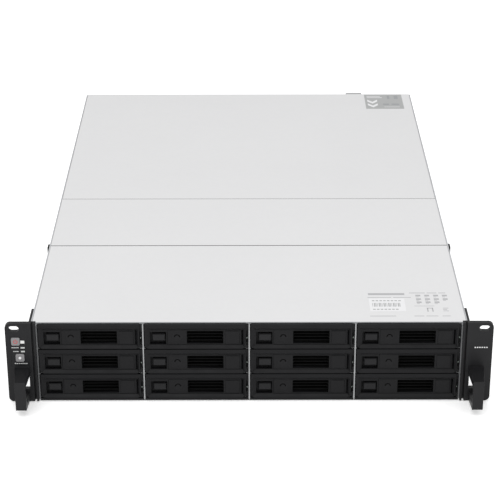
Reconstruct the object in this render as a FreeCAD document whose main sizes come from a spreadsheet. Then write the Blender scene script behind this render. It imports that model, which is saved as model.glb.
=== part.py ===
import FreeCAD, Part

import math
import os
import re

import Sketcher
from FreeCAD import Placement, Rotation, Vector

# A two-unit-high rack storage server: twelve drive trays in front, fans and electronics behind.
# X runs to the right seen from the front, Y to the back, Z up. The origin is the centre of the
# underside. Every piece is drawn with Y measured from the front face of the rack ears and then
# moved forwards by face_y as it is placed.

SIZES = {
    # whole unit
    "rack_width": 482.6,
    "chassis_width": 431,
    "unit_height": 88,
    "metal": 1.2,
    "play": 0.1,
    "chassis_front": 6,
    "chassis_rear": 658.6,
    "face_y": -332.3,
    # lids
    "lid_half": 214.1,
    "lid_front": 3.5,
    "lid_fillet": 1,
    "door_front": 182,
    "door_rear": 309,
    "lid_rear": 660.1,
    "front_seam": 1.2,
    "rear_seam": 0.8,
    "lip_depth": 10.8,
    "lip_inset": 4,
    "door_lip_front": 196,
    "door_pin_y": 300.6,
    "door_pin_z": 83,
    "door_pin_radius": 2,
    "door_lug": 5,
    "pin_clearance": 0.05,
    "lid_slide": 12,
    "rear_fold": 3,
    "tab_left": 130,
    "tab_right": 151,
    "tab_reach": 6,
    # side latches that free the fan door
    "latch_y": 188,
    "latch_z": 79.7,
    "latch_length": 9.6,
    "latch_height": 11.2,
    "latch_proud": 2.8,
    "latch_sunk": 2,
    "latch_corner": 1.5,
    "latch_rim": 0.8,
    "keeper_reach": 1.4,
    "keeper_thick": 1,
    # rail screw holes in the sides
    "rail_hole_y": 290,
    "rail_hole_z": 32,
    "rail_hole_gap_y": 150,
    "rail_hole_gap_z": 24,
    "rail_hole_radius": 2,
    # openings in the back wall
    "opening_margin": 0.4,
    "port_left": -188,
    "port_right": -60,
    "port_low": 10.2,
    "port_high": 28.2,
    "card_left": 0,
    "card_right": 98,
    "card_low": 12,
    "card_pitch": 17,
    "card_height": 13,
    "exhaust_left": -200,
    "exhaust_low": 42,
    "exhaust_width": 8,
    "exhaust_height": 6,
    "exhaust_gap_x": 11,
    "exhaust_gap_z": 10,
    # drive bays
    "bay_pitch": 105.2,
    "row_pitch": 27.9,
    "row_base": 3.5,
    "divider": 1.3,
    "divider_front": 1.5,
    "cage_sheet": 0.8,
    "cage_front": 3.6,
    "cage_rear": 165.5,
    "ledge_width": 6,
    "ledge_thick": 1,
    "ledge_drop": 1.4,
    # drive trays
    "tray_left": -50.9,
    "tray_right": 49.1,
    "tray_low": 0.5,
    "tray_high": 27.4,
    "flange_depth": 3,
    "overlap": 0.5,
    "corner_radius": 4.5,
    "margin_front": 1.2,
    "rim": 1,
    "rim_step": 2.2,
    "rim_top": 23.7,
    "panel_left": -46.2,
    "panel_right": 46.2,
    "panel_low": 3.9,
    "panel_high": 20.5,
    "body_half": 51.4,
    "body_low": 0.1,
    "body_high": 26.2,
    "body_rear": 16,
    "recess_depth": 8,
    "web": 1.6,
    "lever_left": -28.2,
    "lever_front": 2.4,
    "lever_thickness": 5,
    "lever_gap": 0.25,
    "hinge_x": 43.4,
    "hinge_pin_radius": 1,
    "hinge_pin_reach": 1.4,
    "sink_left": -45.8,
    "sink_right": -29.6,
    "sink_low": 4.4,
    "sink_high": 18.3,
    "sink_depth": 6.6,
    "button_left": -43.4,
    "button_width": 12.8,
    "button_low": 8.4,
    "button_height": 7.4,
    "button_front": 2,
    "button_slope": 0.7,
    "button_step": 1.2,
    "button_keeper": 0.9,
    "button_keeper_thick": 1.2,
    "lock_x": -18.9,
    "lock_z": 12.4,
    "lock_radius": 4.25,
    "lock_depth": 3.5,
    "lock_slot_outer": 3.15,
    "lock_slot_inner": 2.05,
    "lock_slot_depth": 0.8,
    "vent_left": -9.2,
    "vent_right": 26.9,
    "vent_margin": 1.2,
    "slat_offset": 0.6,
    "slat": 0.8,
    "slat_sunk": 3,
    "pad_inset": 0.8,
    "pad_slope": 0.6,
    "light_radius": 0.7,
    "light_x": 50.3,
    "light_z": 12.4,
    "light_gap": 6,
    # drives and the rails that carry them
    "drive_width": 101.6,
    "drive_length": 147,
    "drive_height": 26.1,
    "drive_front": 17,
    "drive_play": 0.05,
    "rail_length": 128,
    "rail_low": 4,
    "rail_high": 22,
    "peg_radius": 1.5,
    "peg_reach": 2.4,
    "peg_hole_depth": 3,
    "peg_z": 6.5,
    "peg_front": 30.6,
    "peg_rear": 132.2,
    "notch_left": -36.8,
    "notch_right": 11.2,
    "notch_depth": 5,
    "notch_height": 9.6,
    # backplane
    "board": 1.6,
    "backplane_y": 171,
    "backplane_low": 3,
    "backplane_high": 85,
    "slot_reach": 44,
    "slot_low": 12,
    "slot_high": 24,
    "socket_front": 164.8,
    "socket_left": -34,
    "socket_right": 8,
    "socket_low": 2.5,
    "socket_high": 9,
    # fans
    "fan_size": 80,
    "fan_depth": 38,
    "fan_y": 222,
    "fan_z": 43.5,
    "fan_bore": 38,
    "fan_wall_half": 208,
    "fan_wall_top": 84.8,
    "arm_radius": 1.6,
    "seat_depth": 3,
    "blade_reach": 35.8,
    "blade_front": 4,
    "blade_rear": 30,
    "blade_lean": 9,
    "blade_thick": 3,
    "blade_root": 16,
    "hub_front": 2,
    "hub_length": 32,
    "hub_radius": 19,
    "shaft_radius": 2,
    "shaft_length": 4.9,
    # main board
    "main_y": 330,
    "main_length": 316,
    "main_left": -208,
    "main_right": 120,
    "main_z": 7.2,
    "standoff_radius": 3,
    "standoff_inset": 12,
    # processor cooler
    "cooler_left": -78,
    "cooler_front": 420,
    "cooler_rear": 510,
    "cooler_foot": 6,
    "fin": 1,
    "fin_pitch": 4,
    "fin_height": 53,
    # parts on the main board
    "ports_rear": 654,
    "ports_depth": 29,
    "port_a_left": -184,
    "port_a_right": -116,
    "port_a_height": 13.4,
    "port_b_left": -108,
    "port_b_right": -64,
    "port_b_height": 15,
    "chip_left": -20,
    "chip_front": 544,
    "chip_side": 32,
    "chip_height": 6,
    "plug_left": 80,
    "plug_front": 350,
    "plug_width": 12,
    "plug_length": 52,
    "memory_left": -150,
    "memory_front": 400,
    "memory_pitch": 9,
    "memory_thick": 4,
    "memory_length": 133,
    "memory_height": 31,
    "blank_left": 3,
    "blank_right": 95,
    "blank_low": 14,
    "blank_height": 9,
    # power supplies
    "psu_left": 130.6,
    "psu_width": 76,
    "psu_height": 38.6,
    "psu_low": 3.6,
    "psu_pitch": 40,
    "psu_front": 472,
    "psu_rear": 660.4,
    "psu_grip": 692,
    "grille_x": 54,
    "grille_z": 19.3,
    "grille_radius": 17,
    "grille_depth": 6,
    "ring_radius": 16,
    "ring_pitch": 4,
    "ring_wide": 1.4,
    "ring_thick": 1.2,
    "spoke": 0.8,
    "inlet_left": 5,
    "inlet_right": 32,
    "inlet_low": 4,
    "inlet_high": 22,
    "inlet_depth": 16,
    "inlet_wall": 2.5,
    "inlet_pin": 2,
    "inlet_pin_pitch": 6.5,
    "inlet_pin_height": 4,
    "loop_left": 34.4,
    "loop_thick": 2.4,
    "loop_low": 4,
    "loop_high": 31,
    "loop_bar": 5,
    "thumb_left": 4,
    "thumb_right": 22,
    "thumb_low": 25,
    "thumb_high": 35,
    "thumb_length": 14.4,
    "thumb_tab": 6,
    "thumb_tab_reach": 11,
    "thumb_travel": 3,
    # rack ears
    "ear_thick": 5.5,
    "ear_low": 0.3,
    "ear_inner": 211.3,
    "ear_corner": 5,
    "groove_inner": 213.4,
    "groove_outer": 215.4,
    "groove_depth": 4,
    "arm_rear": 33,
    "arm_thick": 2.4,
    "arm_low": 2.3,
    "slot_x": 232.55,
    "slot_z": 82.1,
    "slot_length": 10.5,
    "slot_radius": 3.2,
    # ear pull handles
    "grip_inner": 220,
    "grip_outer": 230.6,
    "grip_front": -31,
    "grip_thick": 4,
    "grip_low": 7.6,
    "grip_high": 39,
    "grip_root": 1,
    "shelf_thick": 6.5,
    "shelf_inner": 218,
    "shelf_outer": 234,
    "foot_rise": 5,
    "foot_root": 10.6,
    "window_low": 14.5,
    "window_inner": 219.6,
    "window_outer": 230,
    # control panel on the left ear
    "pad_left": -236.6,
    "pad_right": -218.4,
    "pad_low": 40,
    "pad_high": 74.8,
    "pad_step": 0.4,
    "power_x": -231.4,
    "power_z": 68.2,
    "select_x": -227.8,
    "select_z": 50,
    "key_half": 4.3,
    "key_proud": 0.9,
    "key_depth": 3.5,
    "key_corner": 1.6,
    "key_rim": 0.4,
    "lens_left": -226.6,
    "lens_right": -222.6,
    "lens_proud": 0.3,
    "lens_gap": 4.2,
    "light_bar_low": 66,
    "light_bar_height": 3.2,
    "lens_low": 56.2,
    "lens_height": 1.6,
}

COLUMNS = 4
ROWS = 3
FANS = 4
BLADES = 7
SLATS = 4
CARDS = 4
FINS = 20
EXHAUST_ROWS = 4
EXHAUST_COLUMNS = 16
MEMORY_SLOTS = 4
FAN_ARMS = 3
ARM_START = 30
GRILLE_RINGS = 4
INLET_PINS = 3
TURN = {
    "x": Rotation(Vector(0, 1, 0), 90),
    "y": Rotation(Vector(1, 0, 0), -90),
    "z": Rotation(),
}

SMALL = 1e-6

doc = FreeCAD.newDocument("rack_storage")
sheet = doc.addObject("Spreadsheet::Sheet", "Sizes")
for line, (word, number) in enumerate(SIZES.items(), start=1):
    sheet.set(f"A{line}", word)
    sheet.set(f"B{line}", str(number))
    sheet.setAlias(f"B{line}", word)
doc.recompute()

nodes = []


# ---------------------------------------------------------------- helpers


def bound(text):
    """An expression in which each size of the sheet is named as the document names it."""

    def name(word):
        return "Sizes." + word.group() if word.group() in SIZES else word.group()

    return re.sub(r"[a-z_]\w*", name, str(text))


def value(text):
    """The number that an expression gives now."""
    return float(sheet.evalExpression(bound(text)))


def place(item, x, y, z):
    """Bind an object's position to three expressions."""
    for axis, text in zip("xyz", (x, y, z)):
        item.setExpression(".Placement.Base." + axis, bound(text))


def block(name, low, high):
    """A box between two corners."""
    item = doc.addObject("Part::Box", name)
    for side, start, end in zip(("Length", "Width", "Height"), low, high):
        item.setExpression(side, bound(f"({end}) - ({start})"))
    place(item, *low)
    return item


def rod(name, base, radius, length, axis="y"):
    """A cylinder that starts at base and runs along an axis."""
    item = doc.addObject("Part::Cylinder", name)
    item.Placement = Placement(Vector(), TURN[axis])
    item.setExpression("Radius", bound(radius))
    item.setExpression("Height", bound(length))
    place(item, *base)
    return item


def tapered(name, front, back, low_y, high_y):
    """A frustum along Y: front and back are (left, low, right, high) rectangles."""
    item = doc.addObject("Part::Wedge", name)
    corners = {
        "Xmin": front[0], "Zmin": front[1], "Xmax": front[2], "Zmax": front[3],
        "X2min": back[0], "Z2min": back[1], "X2max": back[2], "Z2max": back[3],
        "Ymin": low_y, "Ymax": high_y,
    }
    for side, text in corners.items():
        item.setExpression(side, bound(text))
    return item


def joined(name, items):
    """Several overlapping solids made into one."""
    item = doc.addObject("Part::MultiFuse", name)
    item.Shapes = items
    item.Refine = True
    return item


def cut(name, base, tools):
    """A solid with several others taken out of it."""
    tool = tools[0]
    if len(tools) > 1:
        tool = doc.addObject("Part::Compound", name + "_tools")
        tool.Links = tools
    item = doc.addObject("Part::Cut", name)
    item.Base = base
    item.Tool = tool
    return item


def group(name, items, x="0", y="0", z="0"):
    """Solids that stay separate, placed together."""
    item = doc.addObject("Part::Compound", name)
    item.Links = items
    place(item, x, y, z)
    return item


def node(label, items, x="0", y="0", z="0"):
    """A finished sub-part, placed in the unit's frame."""
    item = group(label, items, x, f"face_y + ({y})", z)
    item.Label = label
    nodes.append(item)
    return item


def origin_feature(body, role):
    """One of a body's origin planes or axes."""
    return next(item for item in body.Origin.OriginFeatures if item.Role == role)


def sketch(body, plane, name, height="0"):
    """A sketch on one of the body's origin planes, at a height along its normal."""
    item = body.newObject("Sketcher::SketchObject", name)
    item.AttachmentSupport = (origin_feature(body, plane + "_Plane"), [""])
    item.MapMode = "FlatFace"
    item.setExpression(".AttachmentOffset.Base.z", bound(height))
    return item


def pin_point(item, geometry, point, x, y):
    """Hold a point of a sketch at two bound distances from its origin."""
    for kind, text in (("DistanceX", x), ("DistanceY", y)):
        rule = Sketcher.Constraint(kind, -1, 1, geometry, point, value(text))
        item.setExpression(f"Constraints[{item.addConstraint(rule)}]", bound(text))


def polygon(item, points):
    """A closed outline with straight sides through bound points."""
    first = item.GeometryCount
    spots = [Vector(value(x), value(y), 0) for x, y in points]
    for start, end in zip(spots, spots[1:] + spots[:1]):
        item.addGeometry(Part.LineSegment(start, end), False)
    for i, (x, y) in enumerate(points):
        after = first + (i + 1) % len(points)
        item.addConstraint(Sketcher.Constraint("Coincident", first + i, 2, after, 1))
        pin_point(item, first + i, 1, x, y)


def rectangle(item, left, low, right, high):
    """A bound rectangle."""
    polygon(item, [(left, low), (right, low), (right, high), (left, high)])


def circle(item, x, y, radius):
    """A bound circle."""
    ring = Part.Circle(Vector(value(x), value(y), 0), Vector(0, 0, 1), value(radius))
    index = item.addGeometry(ring, False)
    pin_point(item, index, 3, x, y)
    rule = item.addConstraint(Sketcher.Constraint("Radius", index, value(radius)))
    item.setExpression(f"Constraints[{rule}]", bound(radius))


def pad(body, outline, name, length, reverse=False):
    """Material added along a sketch's normal, or against it."""
    item = body.newObject("PartDesign::Pad", name)
    item.Profile = outline
    item.setExpression("Length", bound(length))
    item.Reversed = reverse
    return item


def pocket(body, outline, name, depth, reverse=False):
    """Material taken away against a sketch's normal, or along it."""
    item = body.newObject("PartDesign::Pocket", name)
    item.Profile = outline
    item.setExpression("Length", bound(depth))
    item.Reversed = reverse
    return item


def fillet(body, base, name, radius, wanted):
    """Round the edges of base whose centre passes a test."""
    doc.recompute()
    edges = base.Shape.Edges
    names = [f"Edge{i}" for i, edge in enumerate(edges, start=1) if wanted(edge)]
    item = body.newObject("PartDesign::Fillet", name)
    item.Base = (base, names)
    item.setExpression("Radius", bound(radius))
    return item


def repeat(body, feature, name, axis, count, step):
    """A row of copies of a feature along one of the body's axes."""
    item = body.newObject("PartDesign::LinearPattern", name)
    item.Originals = [feature]
    item.Direction = (origin_feature(body, axis + "_Axis"), [""])
    item.setExpression("Length", bound(f"({step}) * {count - 1}"))
    item.Occurrences = count
    body.Tip = item


def new_body(name):
    """An empty PartDesign body."""
    return doc.addObject("PartDesign::Body", name)


def along(edge, axis):
    """Whether a straight edge runs along an axis."""
    if len(edge.Vertexes) < 2:
        return False
    step = edge.Vertexes[1].Point - edge.Vertexes[0].Point
    return step.Length > 0 and abs(abs(step.dot(axis)) - step.Length) < SMALL


# ---------------------------------------------------------------- sheet-metal case


def chassis_base():
    """The floor and both sides, bent from one sheet, with standoffs for the main board."""
    body = new_body("chassis")
    outline = sketch(body, "XZ", "chassis_section", "-chassis_front")
    half, top, wall = "chassis_width / 2", "unit_height", "metal"
    right = [(half, "0"), (half, top), (f"{half} - {wall}", top), (f"{half} - {wall}", wall)]
    left = [(f"-({x})", z) for x, z in reversed(right)]
    polygon(outline, right + left)
    pad(body, outline, "chassis_shell", "chassis_rear - chassis_front", reverse=True)

    windows = sketch(body, "YZ", "side_openings", half)
    reach_y = "(latch_length / 2 + 2 * play)"
    reach_z = "(latch_height / 2 + 2 * play)"
    rectangle(
        windows,
        f"latch_y - {reach_y}", f"latch_z - {reach_z}",
        f"latch_y + {reach_y}", f"latch_z + {reach_z}",
    )
    circle(windows, "door_pin_y", "door_pin_z", "door_pin_radius + pin_clearance")
    for y in ("rail_hole_y", "rail_hole_y + rail_hole_gap_y"):
        for z in ("rail_hole_z", "rail_hole_z + rail_hole_gap_z"):
            circle(windows, y, z, "rail_hole_radius")
    pocket(body, windows, "side_cuts", "chassis_width")

    posts = sketch(body, "XY", "standoff_outlines", "metal")
    rows = (
        "main_y + standoff_inset",
        "main_y + main_length / 2",
        "main_y + main_length - standoff_inset",
    )
    for x in ("main_left + standoff_inset", "main_right - standoff_inset"):
        for y in rows:
            circle(posts, x, y, "standoff_radius")
    pad(body, posts, "standoffs", "main_z - metal")
    node("chassis_base", [body])


def lid_lips(body, name, start, end, depth="lip_depth"):
    """The two edges of a lid that turn down inside the chassis sides."""
    outline = sketch(body, "XY", name + "_lip_outlines", "unit_height - metal")
    rectangle(outline, "lid_half - metal", start, "lid_half", end)
    rectangle(outline, "-lid_half", start, "-(lid_half - metal)", end)
    return pad(body, outline, name + "_lips", depth, reverse=True)


def front_cover():
    """The fixed lid over the drives, rounded over along its front edge."""
    body = new_body("front_lid")
    inner = "ear_inner - 4 * play"
    half = [
        (inner, "lid_front"),
        (inner, "chassis_front + play"),
        ("lid_half", "chassis_front + play"),
        ("lid_half", "door_front - front_seam / 2"),
    ]
    outline = sketch(body, "XY", "front_lid_outline", "unit_height - metal")
    polygon(outline, half + [(f"-({x})", y) for x, y in reversed(half)])
    pad(body, outline, "front_lid_sheet", "metal")
    lips = lid_lips(body, "front_lid", "chassis_front + lip_inset", "door_front - lip_inset")
    front, top = value("lid_front"), value("unit_height")

    def front_edge(edge):
        centre = edge.CenterOfMass
        return abs(centre.y - front) < SMALL and abs(centre.z - top) < SMALL

    fillet(body, lips, "front_lid_fold", "lid_fillet", front_edge)
    node("front_cover", [body])


def fan_door():
    """The middle lid, which turns up on two pins to reach the fans."""
    body = new_body("door")
    outline = sketch(body, "XY", "door_outline", "unit_height - metal")
    front, rear = "door_front + front_seam / 2", "door_rear - rear_seam / 2"
    rectangle(outline, "-lid_half", front, "lid_half", rear)
    pad(body, outline, "door_sheet", "metal")
    depth = "unit_height - metal - door_pin_z + door_lug"
    lid_lips(body, "door", "door_lip_front", "door_pin_y + door_lug", depth)
    for side, start in (("right", "lid_half"), ("left", "-lid_half")):
        pin = sketch(body, "YZ", side + "_pin_outline", start)
        circle(pin, "door_pin_y", "door_pin_z", "door_pin_radius")
        pad(body, pin, side + "_pin", "metal + 2 * play", reverse=side == "left")
    node("fan_door", [body])


def rear_cover():
    """The long rear lid, with a turned-down rear edge and a pull tab."""
    body = new_body("rear_lid")
    under = "unit_height - metal"
    outline = sketch(body, "XY", "rear_lid_outline", under)
    rectangle(outline, "-lid_half", "door_rear + rear_seam / 2", "lid_half", "lid_rear")
    pad(body, outline, "rear_lid_sheet", "metal")
    end = "chassis_rear - lid_slide - 1.5 * lip_inset"
    lid_lips(body, "rear_lid", "door_rear + lip_inset", end)
    edge = sketch(body, "XY", "rear_edge_outline", under)
    rectangle(edge, "-lid_half", "lid_rear - metal", "lid_half", "lid_rear")
    pad(body, edge, "rear_edge", "rear_fold", reverse=True)
    tab = sketch(body, "XY", "tab_outline", under)
    rectangle(tab, "tab_left", "lid_rear - metal", "tab_right", "lid_rear + tab_reach")
    pad(body, tab, "tab", "metal")
    node("rear_cover", [body])


def latch():
    """A press latch for the right side: a head, a stem through the wall and a keeper."""
    body = new_body("latch")
    inner = "chassis_width / 2 - metal - latch_sunk"
    half_y, half_z = "(latch_length / 2)", "(latch_height / 2)"
    head = sketch(body, "YZ", "latch_outline", inner)
    rectangle(
        head,
        f"latch_y - {half_y}", f"latch_z - {half_z}",
        f"latch_y + {half_y}", f"latch_z + {half_z}",
    )
    stem = pad(body, head, "latch_head", "metal + latch_sunk + latch_proud")
    outside = value("chassis_width / 2 + latch_proud")

    def corner(edge):
        return along(edge, Vector(1, 0, 0))

    def rim(edge):
        return abs(edge.CenterOfMass.x - outside) < SMALL

    rounded = fillet(body, stem, "latch_corners", "latch_corner", corner)
    fillet(body, rounded, "latch_edge", "latch_rim", rim)
    keeper = sketch(body, "YZ", "keeper_outline", inner)
    rectangle(
        keeper,
        f"latch_y - {half_y} - keeper_reach", f"latch_z - {half_z} - keeper_reach / 2",
        f"latch_y + {half_y} + keeper_reach", f"latch_z + {half_z} + keeper_reach / 2",
    )
    pad(body, keeper, "keeper", "keeper_thick", reverse=True)
    return body


def mirrored(name, source):
    """A copy of an object mirrored from right to left."""
    item = doc.addObject("Part::Mirroring", name)
    item.Source = source
    item.Normal = Vector(1, 0, 0)
    return item


def cover_latches():
    """Both side latches."""
    right = latch()
    node("cover_latch_right", [right])
    node("cover_latch_left", [mirrored("latch_mirror", right)])


def rear_panel():
    """The back wall with openings for the power supplies, ports, cards and exhaust air."""
    body = new_body("back_wall")
    half = "chassis_width / 2 - metal - play"
    inside = "-(chassis_rear - metal)"
    outline = sketch(body, "XZ", "back_wall_outline", inside)
    rectangle(outline, f"-({half})", "metal", half, "unit_height - metal * 2 - 3 * play")
    pad(body, outline, "back_wall_sheet", "metal", reverse=True)
    holes = sketch(body, "XZ", "back_wall_openings", inside)
    rectangle(
        holes,
        "psu_left - opening_margin", "psu_low - opening_margin",
        "psu_left + psu_width + opening_margin",
        "psu_low + psu_pitch + psu_height + opening_margin",
    )
    rectangle(holes, "port_left", "port_low", "port_right", "port_high")
    for slot in range(CARDS):
        low = f"card_low + {slot} * card_pitch"
        rectangle(holes, "card_left", low, "card_right", f"{low} + card_height")
    pocket(body, holes, "back_wall_cuts", "metal")
    vent = sketch(body, "XZ", "exhaust_outline", inside)
    for row in range(EXHAUST_ROWS):
        low = f"exhaust_low + {row} * exhaust_gap_z"
        rectangle(vent, "exhaust_left", low, "exhaust_left + exhaust_width", f"{low} + exhaust_height")
    column = pocket(body, vent, "exhaust_column", "metal")
    repeat(body, column, "exhaust", "X", EXHAUST_COLUMNS, "exhaust_gap_x")
    node("rear_panel", [body])


# ---------------------------------------------------------------- drive cage


def bay_x(column):
    """Centre of a bay, columns counted from 0 at the left."""
    return f"({column} - ({COLUMNS} - 1) / 2) * bay_pitch"


def drive_cage():
    """Dividers between a floor and a roof sheet, and the ledges that the trays run on."""
    half = f"({COLUMNS} * bay_pitch + divider) / 2"
    floor = "metal + cage_sheet"
    roof = "unit_height - metal - play"
    parts = [
        block("cage_floor", (f"-({half})", "cage_front", "metal"), (half, "cage_rear", floor)),
        block("cage_roof", (f"-({half})", "cage_front", f"{roof} - cage_sheet"), (half, "cage_rear", roof)),
    ]
    for number in range(COLUMNS + 1):
        left = f"({number} - {COLUMNS} / 2) * bay_pitch - divider / 2"
        right = f"{left} + divider"
        parts.append(block(
            f"divider_{number}",
            (left, "divider_front", floor),
            (right, "cage_rear", f"{roof} - cage_sheet"),
        ))
        for row in range(ROWS):
            low = f"row_base + {row} * row_pitch - ledge_drop"
            if number > 0:
                parts.append(ledge(f"left_ledge_{number}_{row}", f"{left} - ledge_width", left, low))
            if number < COLUMNS:
                parts.append(ledge(f"right_ledge_{number}_{row}", right, f"{right} + ledge_width", low))
    node("drive_cage", parts)


def ledge(name, left, right, low):
    """One ledge of a bay."""
    return block(name, (left, "cage_front", low), (right, "cage_rear", f"{low} + ledge_thick"))


def backplane():
    """The board behind the drives, with a socket for each drive and air slots between."""
    half = f"({COLUMNS} / 2 * bay_pitch)"
    board = block(
        "backplane_sheet",
        (f"-{half}", "backplane_y", "backplane_low"),
        (half, "backplane_y + board", "backplane_high"),
    )
    slots = []
    sockets = []
    for column in range(COLUMNS):
        centre = bay_x(column)
        for row in range(ROWS):
            base = f"row_base + {row} * row_pitch"
            slots.append(block(
                f"air_slot_{column}_{row}",
                (f"{centre} - slot_reach", "backplane_y - board", f"{base} + slot_low"),
                (f"{centre} + slot_reach", "backplane_y + 2 * board", f"{base} + slot_high"),
            ))
            sockets.append(block(
                f"socket_{column}_{row}",
                (f"{centre} + socket_left", "socket_front", f"{base} + socket_low"),
                (f"{centre} + socket_right", "backplane_y", f"{base} + socket_high"),
            ))
    node("backplane", [cut("backplane_board", board, slots)] + sockets)


# ---------------------------------------------------------------- drive trays


def tray_bezel():
    """The front frame of a tray, with recesses for the lever and the release button."""
    flange = new_body("tray_flange")
    outline = sketch(flange, "XZ", "tray_flange_outline")
    rectangle(outline, "tray_left", "tray_low", "tray_right", "tray_high")
    slab = pad(flange, outline, "tray_flange_slab", "flange_depth + overlap", reverse=True)
    low = value("tray_low")

    def lower_corner(edge):
        return along(edge, Vector(0, 1, 0)) and abs(edge.CenterOfMass.z - low) < SMALL

    fillet(flange, slab, "tray_flange_corners", "corner_radius", lower_corner)
    margin = block(
        "tray_margin",
        ("tray_right - 2 * rim", "margin_front", "tray_low + rim"),
        ("body_half", "flange_depth + overlap", "tray_high - overlap"),
    )
    shell = block(
        "tray_shell",
        ("-body_half", "flange_depth", "body_low"),
        ("body_half", "body_rear", "body_high"),
    )
    frame = joined("tray_frame", [flange, margin, shell])

    slope = tapered(
        "rim_slope",
        ("tray_left + rim", "tray_low + rim", "tray_right - rim", "rim_top"),
        ("panel_left", "panel_low", "panel_right", "panel_high"),
        "-play", "rim_step",
    )
    lever_room = block(
        "lever_room",
        ("lever_left - lever_gap", "0", "panel_low"),
        ("panel_right", "recess_depth", "panel_high"),
    )
    button_room = block(
        "button_room",
        ("sink_left", "0", "sink_low"),
        ("sink_right", "sink_depth", "sink_high"),
    )
    hollow = block(
        "tray_hollow",
        ("-body_half + web", "recess_depth + web", "body_low + web"),
        ("body_half - web", "body_rear + web", "body_high - web"),
    )
    button_hole = block(
        "button_hole",
        ("button_left - 2 * play", "0", "button_low - 2 * play"),
        ("button_left + button_width + 2 * play", "body_rear", "button_low + button_height + 2 * play"),
    )
    air_hole = block(
        "air_hole",
        ("vent_left + vent_margin", "0", "panel_low + 2 * vent_margin"),
        ("vent_right - vent_margin", "body_rear", "panel_high - 2 * vent_margin"),
    )
    pin_hole = rod(
        "pin_hole",
        ("hinge_x", "lever_front + lever_thickness / 2", "panel_low - web"),
        "hinge_pin_radius + pin_clearance", "panel_high - panel_low + 2 * web", "z",
    )
    light_holes = [
        rod(f"light_hole_{i}", ("light_x", "0", z), "light_radius", "body_rear / 3")
        for i, z in enumerate(light_heights())
    ]
    tools = [slope, lever_room, button_room, hollow, button_hole, air_hole, pin_hole]
    return cut("tray_front", frame, tools + light_holes)


def light_heights():
    """The heights of the two light guides in a bezel."""
    return ("light_z", "light_z - light_gap")


def tray_carrier():
    """The bezel with its two side rails, which hold the drive by four pegs."""
    inner = "(drive_width / 2 + drive_play)"
    rails = []
    for side, low_x, high_x, start in (
        ("left", "-body_half", f"-{inner}", "-body_half"),
        ("right", inner, "body_half", f"{inner} - peg_reach"),
    ):
        rails.append(block(
            f"{side}_rail",
            (low_x, "body_rear - web", "rail_low"),
            (high_x, "drive_front + rail_length", "rail_high"),
        ))
        for spot in ("peg_front", "peg_rear"):
            rails.append(rod(
                f"{side}_{spot}", (start, spot, "peg_z"),
                "peg_radius", f"peg_reach + body_half - {inner}", "x",
            ))
    return joined("tray_carrier", [tray_bezel()] + rails)


def drive():
    """A 3.5 inch drive: a plain casting with blind peg holes and a notch for its socket."""
    half = "(drive_width / 2)"
    rear = "drive_front + drive_length"
    case = block(
        "drive_case",
        (f"-{half}", "drive_front", "body_low"),
        (half, rear, "body_low + drive_height"),
    )
    holes = []
    for side, x in (("left", f"-{half}"), ("right", f"{half} - peg_hole_depth")):
        for spot in ("peg_front", "peg_rear"):
            holes.append(rod(
                f"drive_{side}_{spot}", (x, spot, "peg_z"),
                "peg_radius + play", "peg_hole_depth", "x",
            ))
    notch = block(
        "drive_socket_notch",
        ("notch_left", f"{rear} - notch_depth", "body_low"),
        ("notch_right", f"{rear} + play", "notch_height"),
    )
    return cut("drive", case, holes + [notch])


def tray_lever():
    """The opening lever: lock at the left, slatted vent in the middle, grip pad at the hinge."""
    back = "lever_front + lever_thickness"
    middle = "lever_front + lever_thickness / 2"
    low, high = "panel_low + lever_gap", "panel_high - lever_gap"
    bar = block("lever_bar", ("lever_left", "lever_front", low), ("hinge_x", back, high))
    knuckle = rod(
        "lever_knuckle", ("hinge_x", middle, low),
        "lever_thickness / 2", "panel_high - panel_low - 2 * lever_gap", "z",
    )
    pin = rod(
        "lever_pin", ("hinge_x", middle, "panel_low - hinge_pin_reach"),
        "hinge_pin_radius", "panel_high - panel_low + 2 * hinge_pin_reach", "z",
    )
    left = "vent_right + 2 * pad_inset"
    grip = tapered(
        "lever_pad",
        (
            f"{left} + pad_slope", "panel_low + pad_inset + pad_slope",
            "hinge_x - pad_slope", "panel_high - pad_inset - pad_slope",
        ),
        (left, "panel_low + pad_inset", "hinge_x", "panel_high - pad_inset"),
        "lever_front - pad_slope", "lever_front + overlap",
    )
    solid = joined("lever_solid", [bar, knuckle, pin, grip])
    vent = block(
        "lever_vent",
        ("vent_left", "0", "panel_low + vent_margin"),
        ("vent_right", "recess_depth", "panel_high - vent_margin"),
    )
    lock_hole = rod(
        "lock_hole", ("lock_x", "lever_front - pad_slope", "lock_z"),
        "lock_radius", "lock_depth + pad_slope",
    )
    open_bar = cut("lever_open", solid, [vent, lock_hole])
    slats = []
    for number in range(SLATS):
        step = f"({number} + slat_offset) * (panel_high - panel_low - 2 * vent_margin) / {SLATS}"
        edge = f"panel_low + vent_margin + {step}"
        slats.append(block(
            f"slat_{number}",
            ("vent_left - overlap", "lever_front + slat_sunk", edge),
            ("vent_right + overlap", back, f"{edge} + slat"),
        ))
    return joined("lever", [open_bar] + slats)


def tray_lock():
    """The lock barrel in the lever, with a curved key slot."""
    spot = ("lock_x", "lever_front", "lock_z")
    barrel = rod("lock_barrel", spot, "lock_radius", "lock_depth")
    ring = rod("lock_groove", spot, "lock_slot_outer", "lock_slot_depth")
    core = rod("lock_core", spot, "lock_slot_inner", "lock_slot_depth")
    half = block(
        "lock_half",
        ("lock_x - lock_radius", "lever_front", "lock_z"),
        ("lock_x + lock_radius", "lever_front + lock_slot_depth", "lock_z + lock_radius"),
    )
    arc = doc.addObject("Part::Common", "lock_arc")
    arc.Base = cut("lock_ring", ring, [core])
    arc.Tool = half
    return cut("lock", barrel, [arc])


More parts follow.
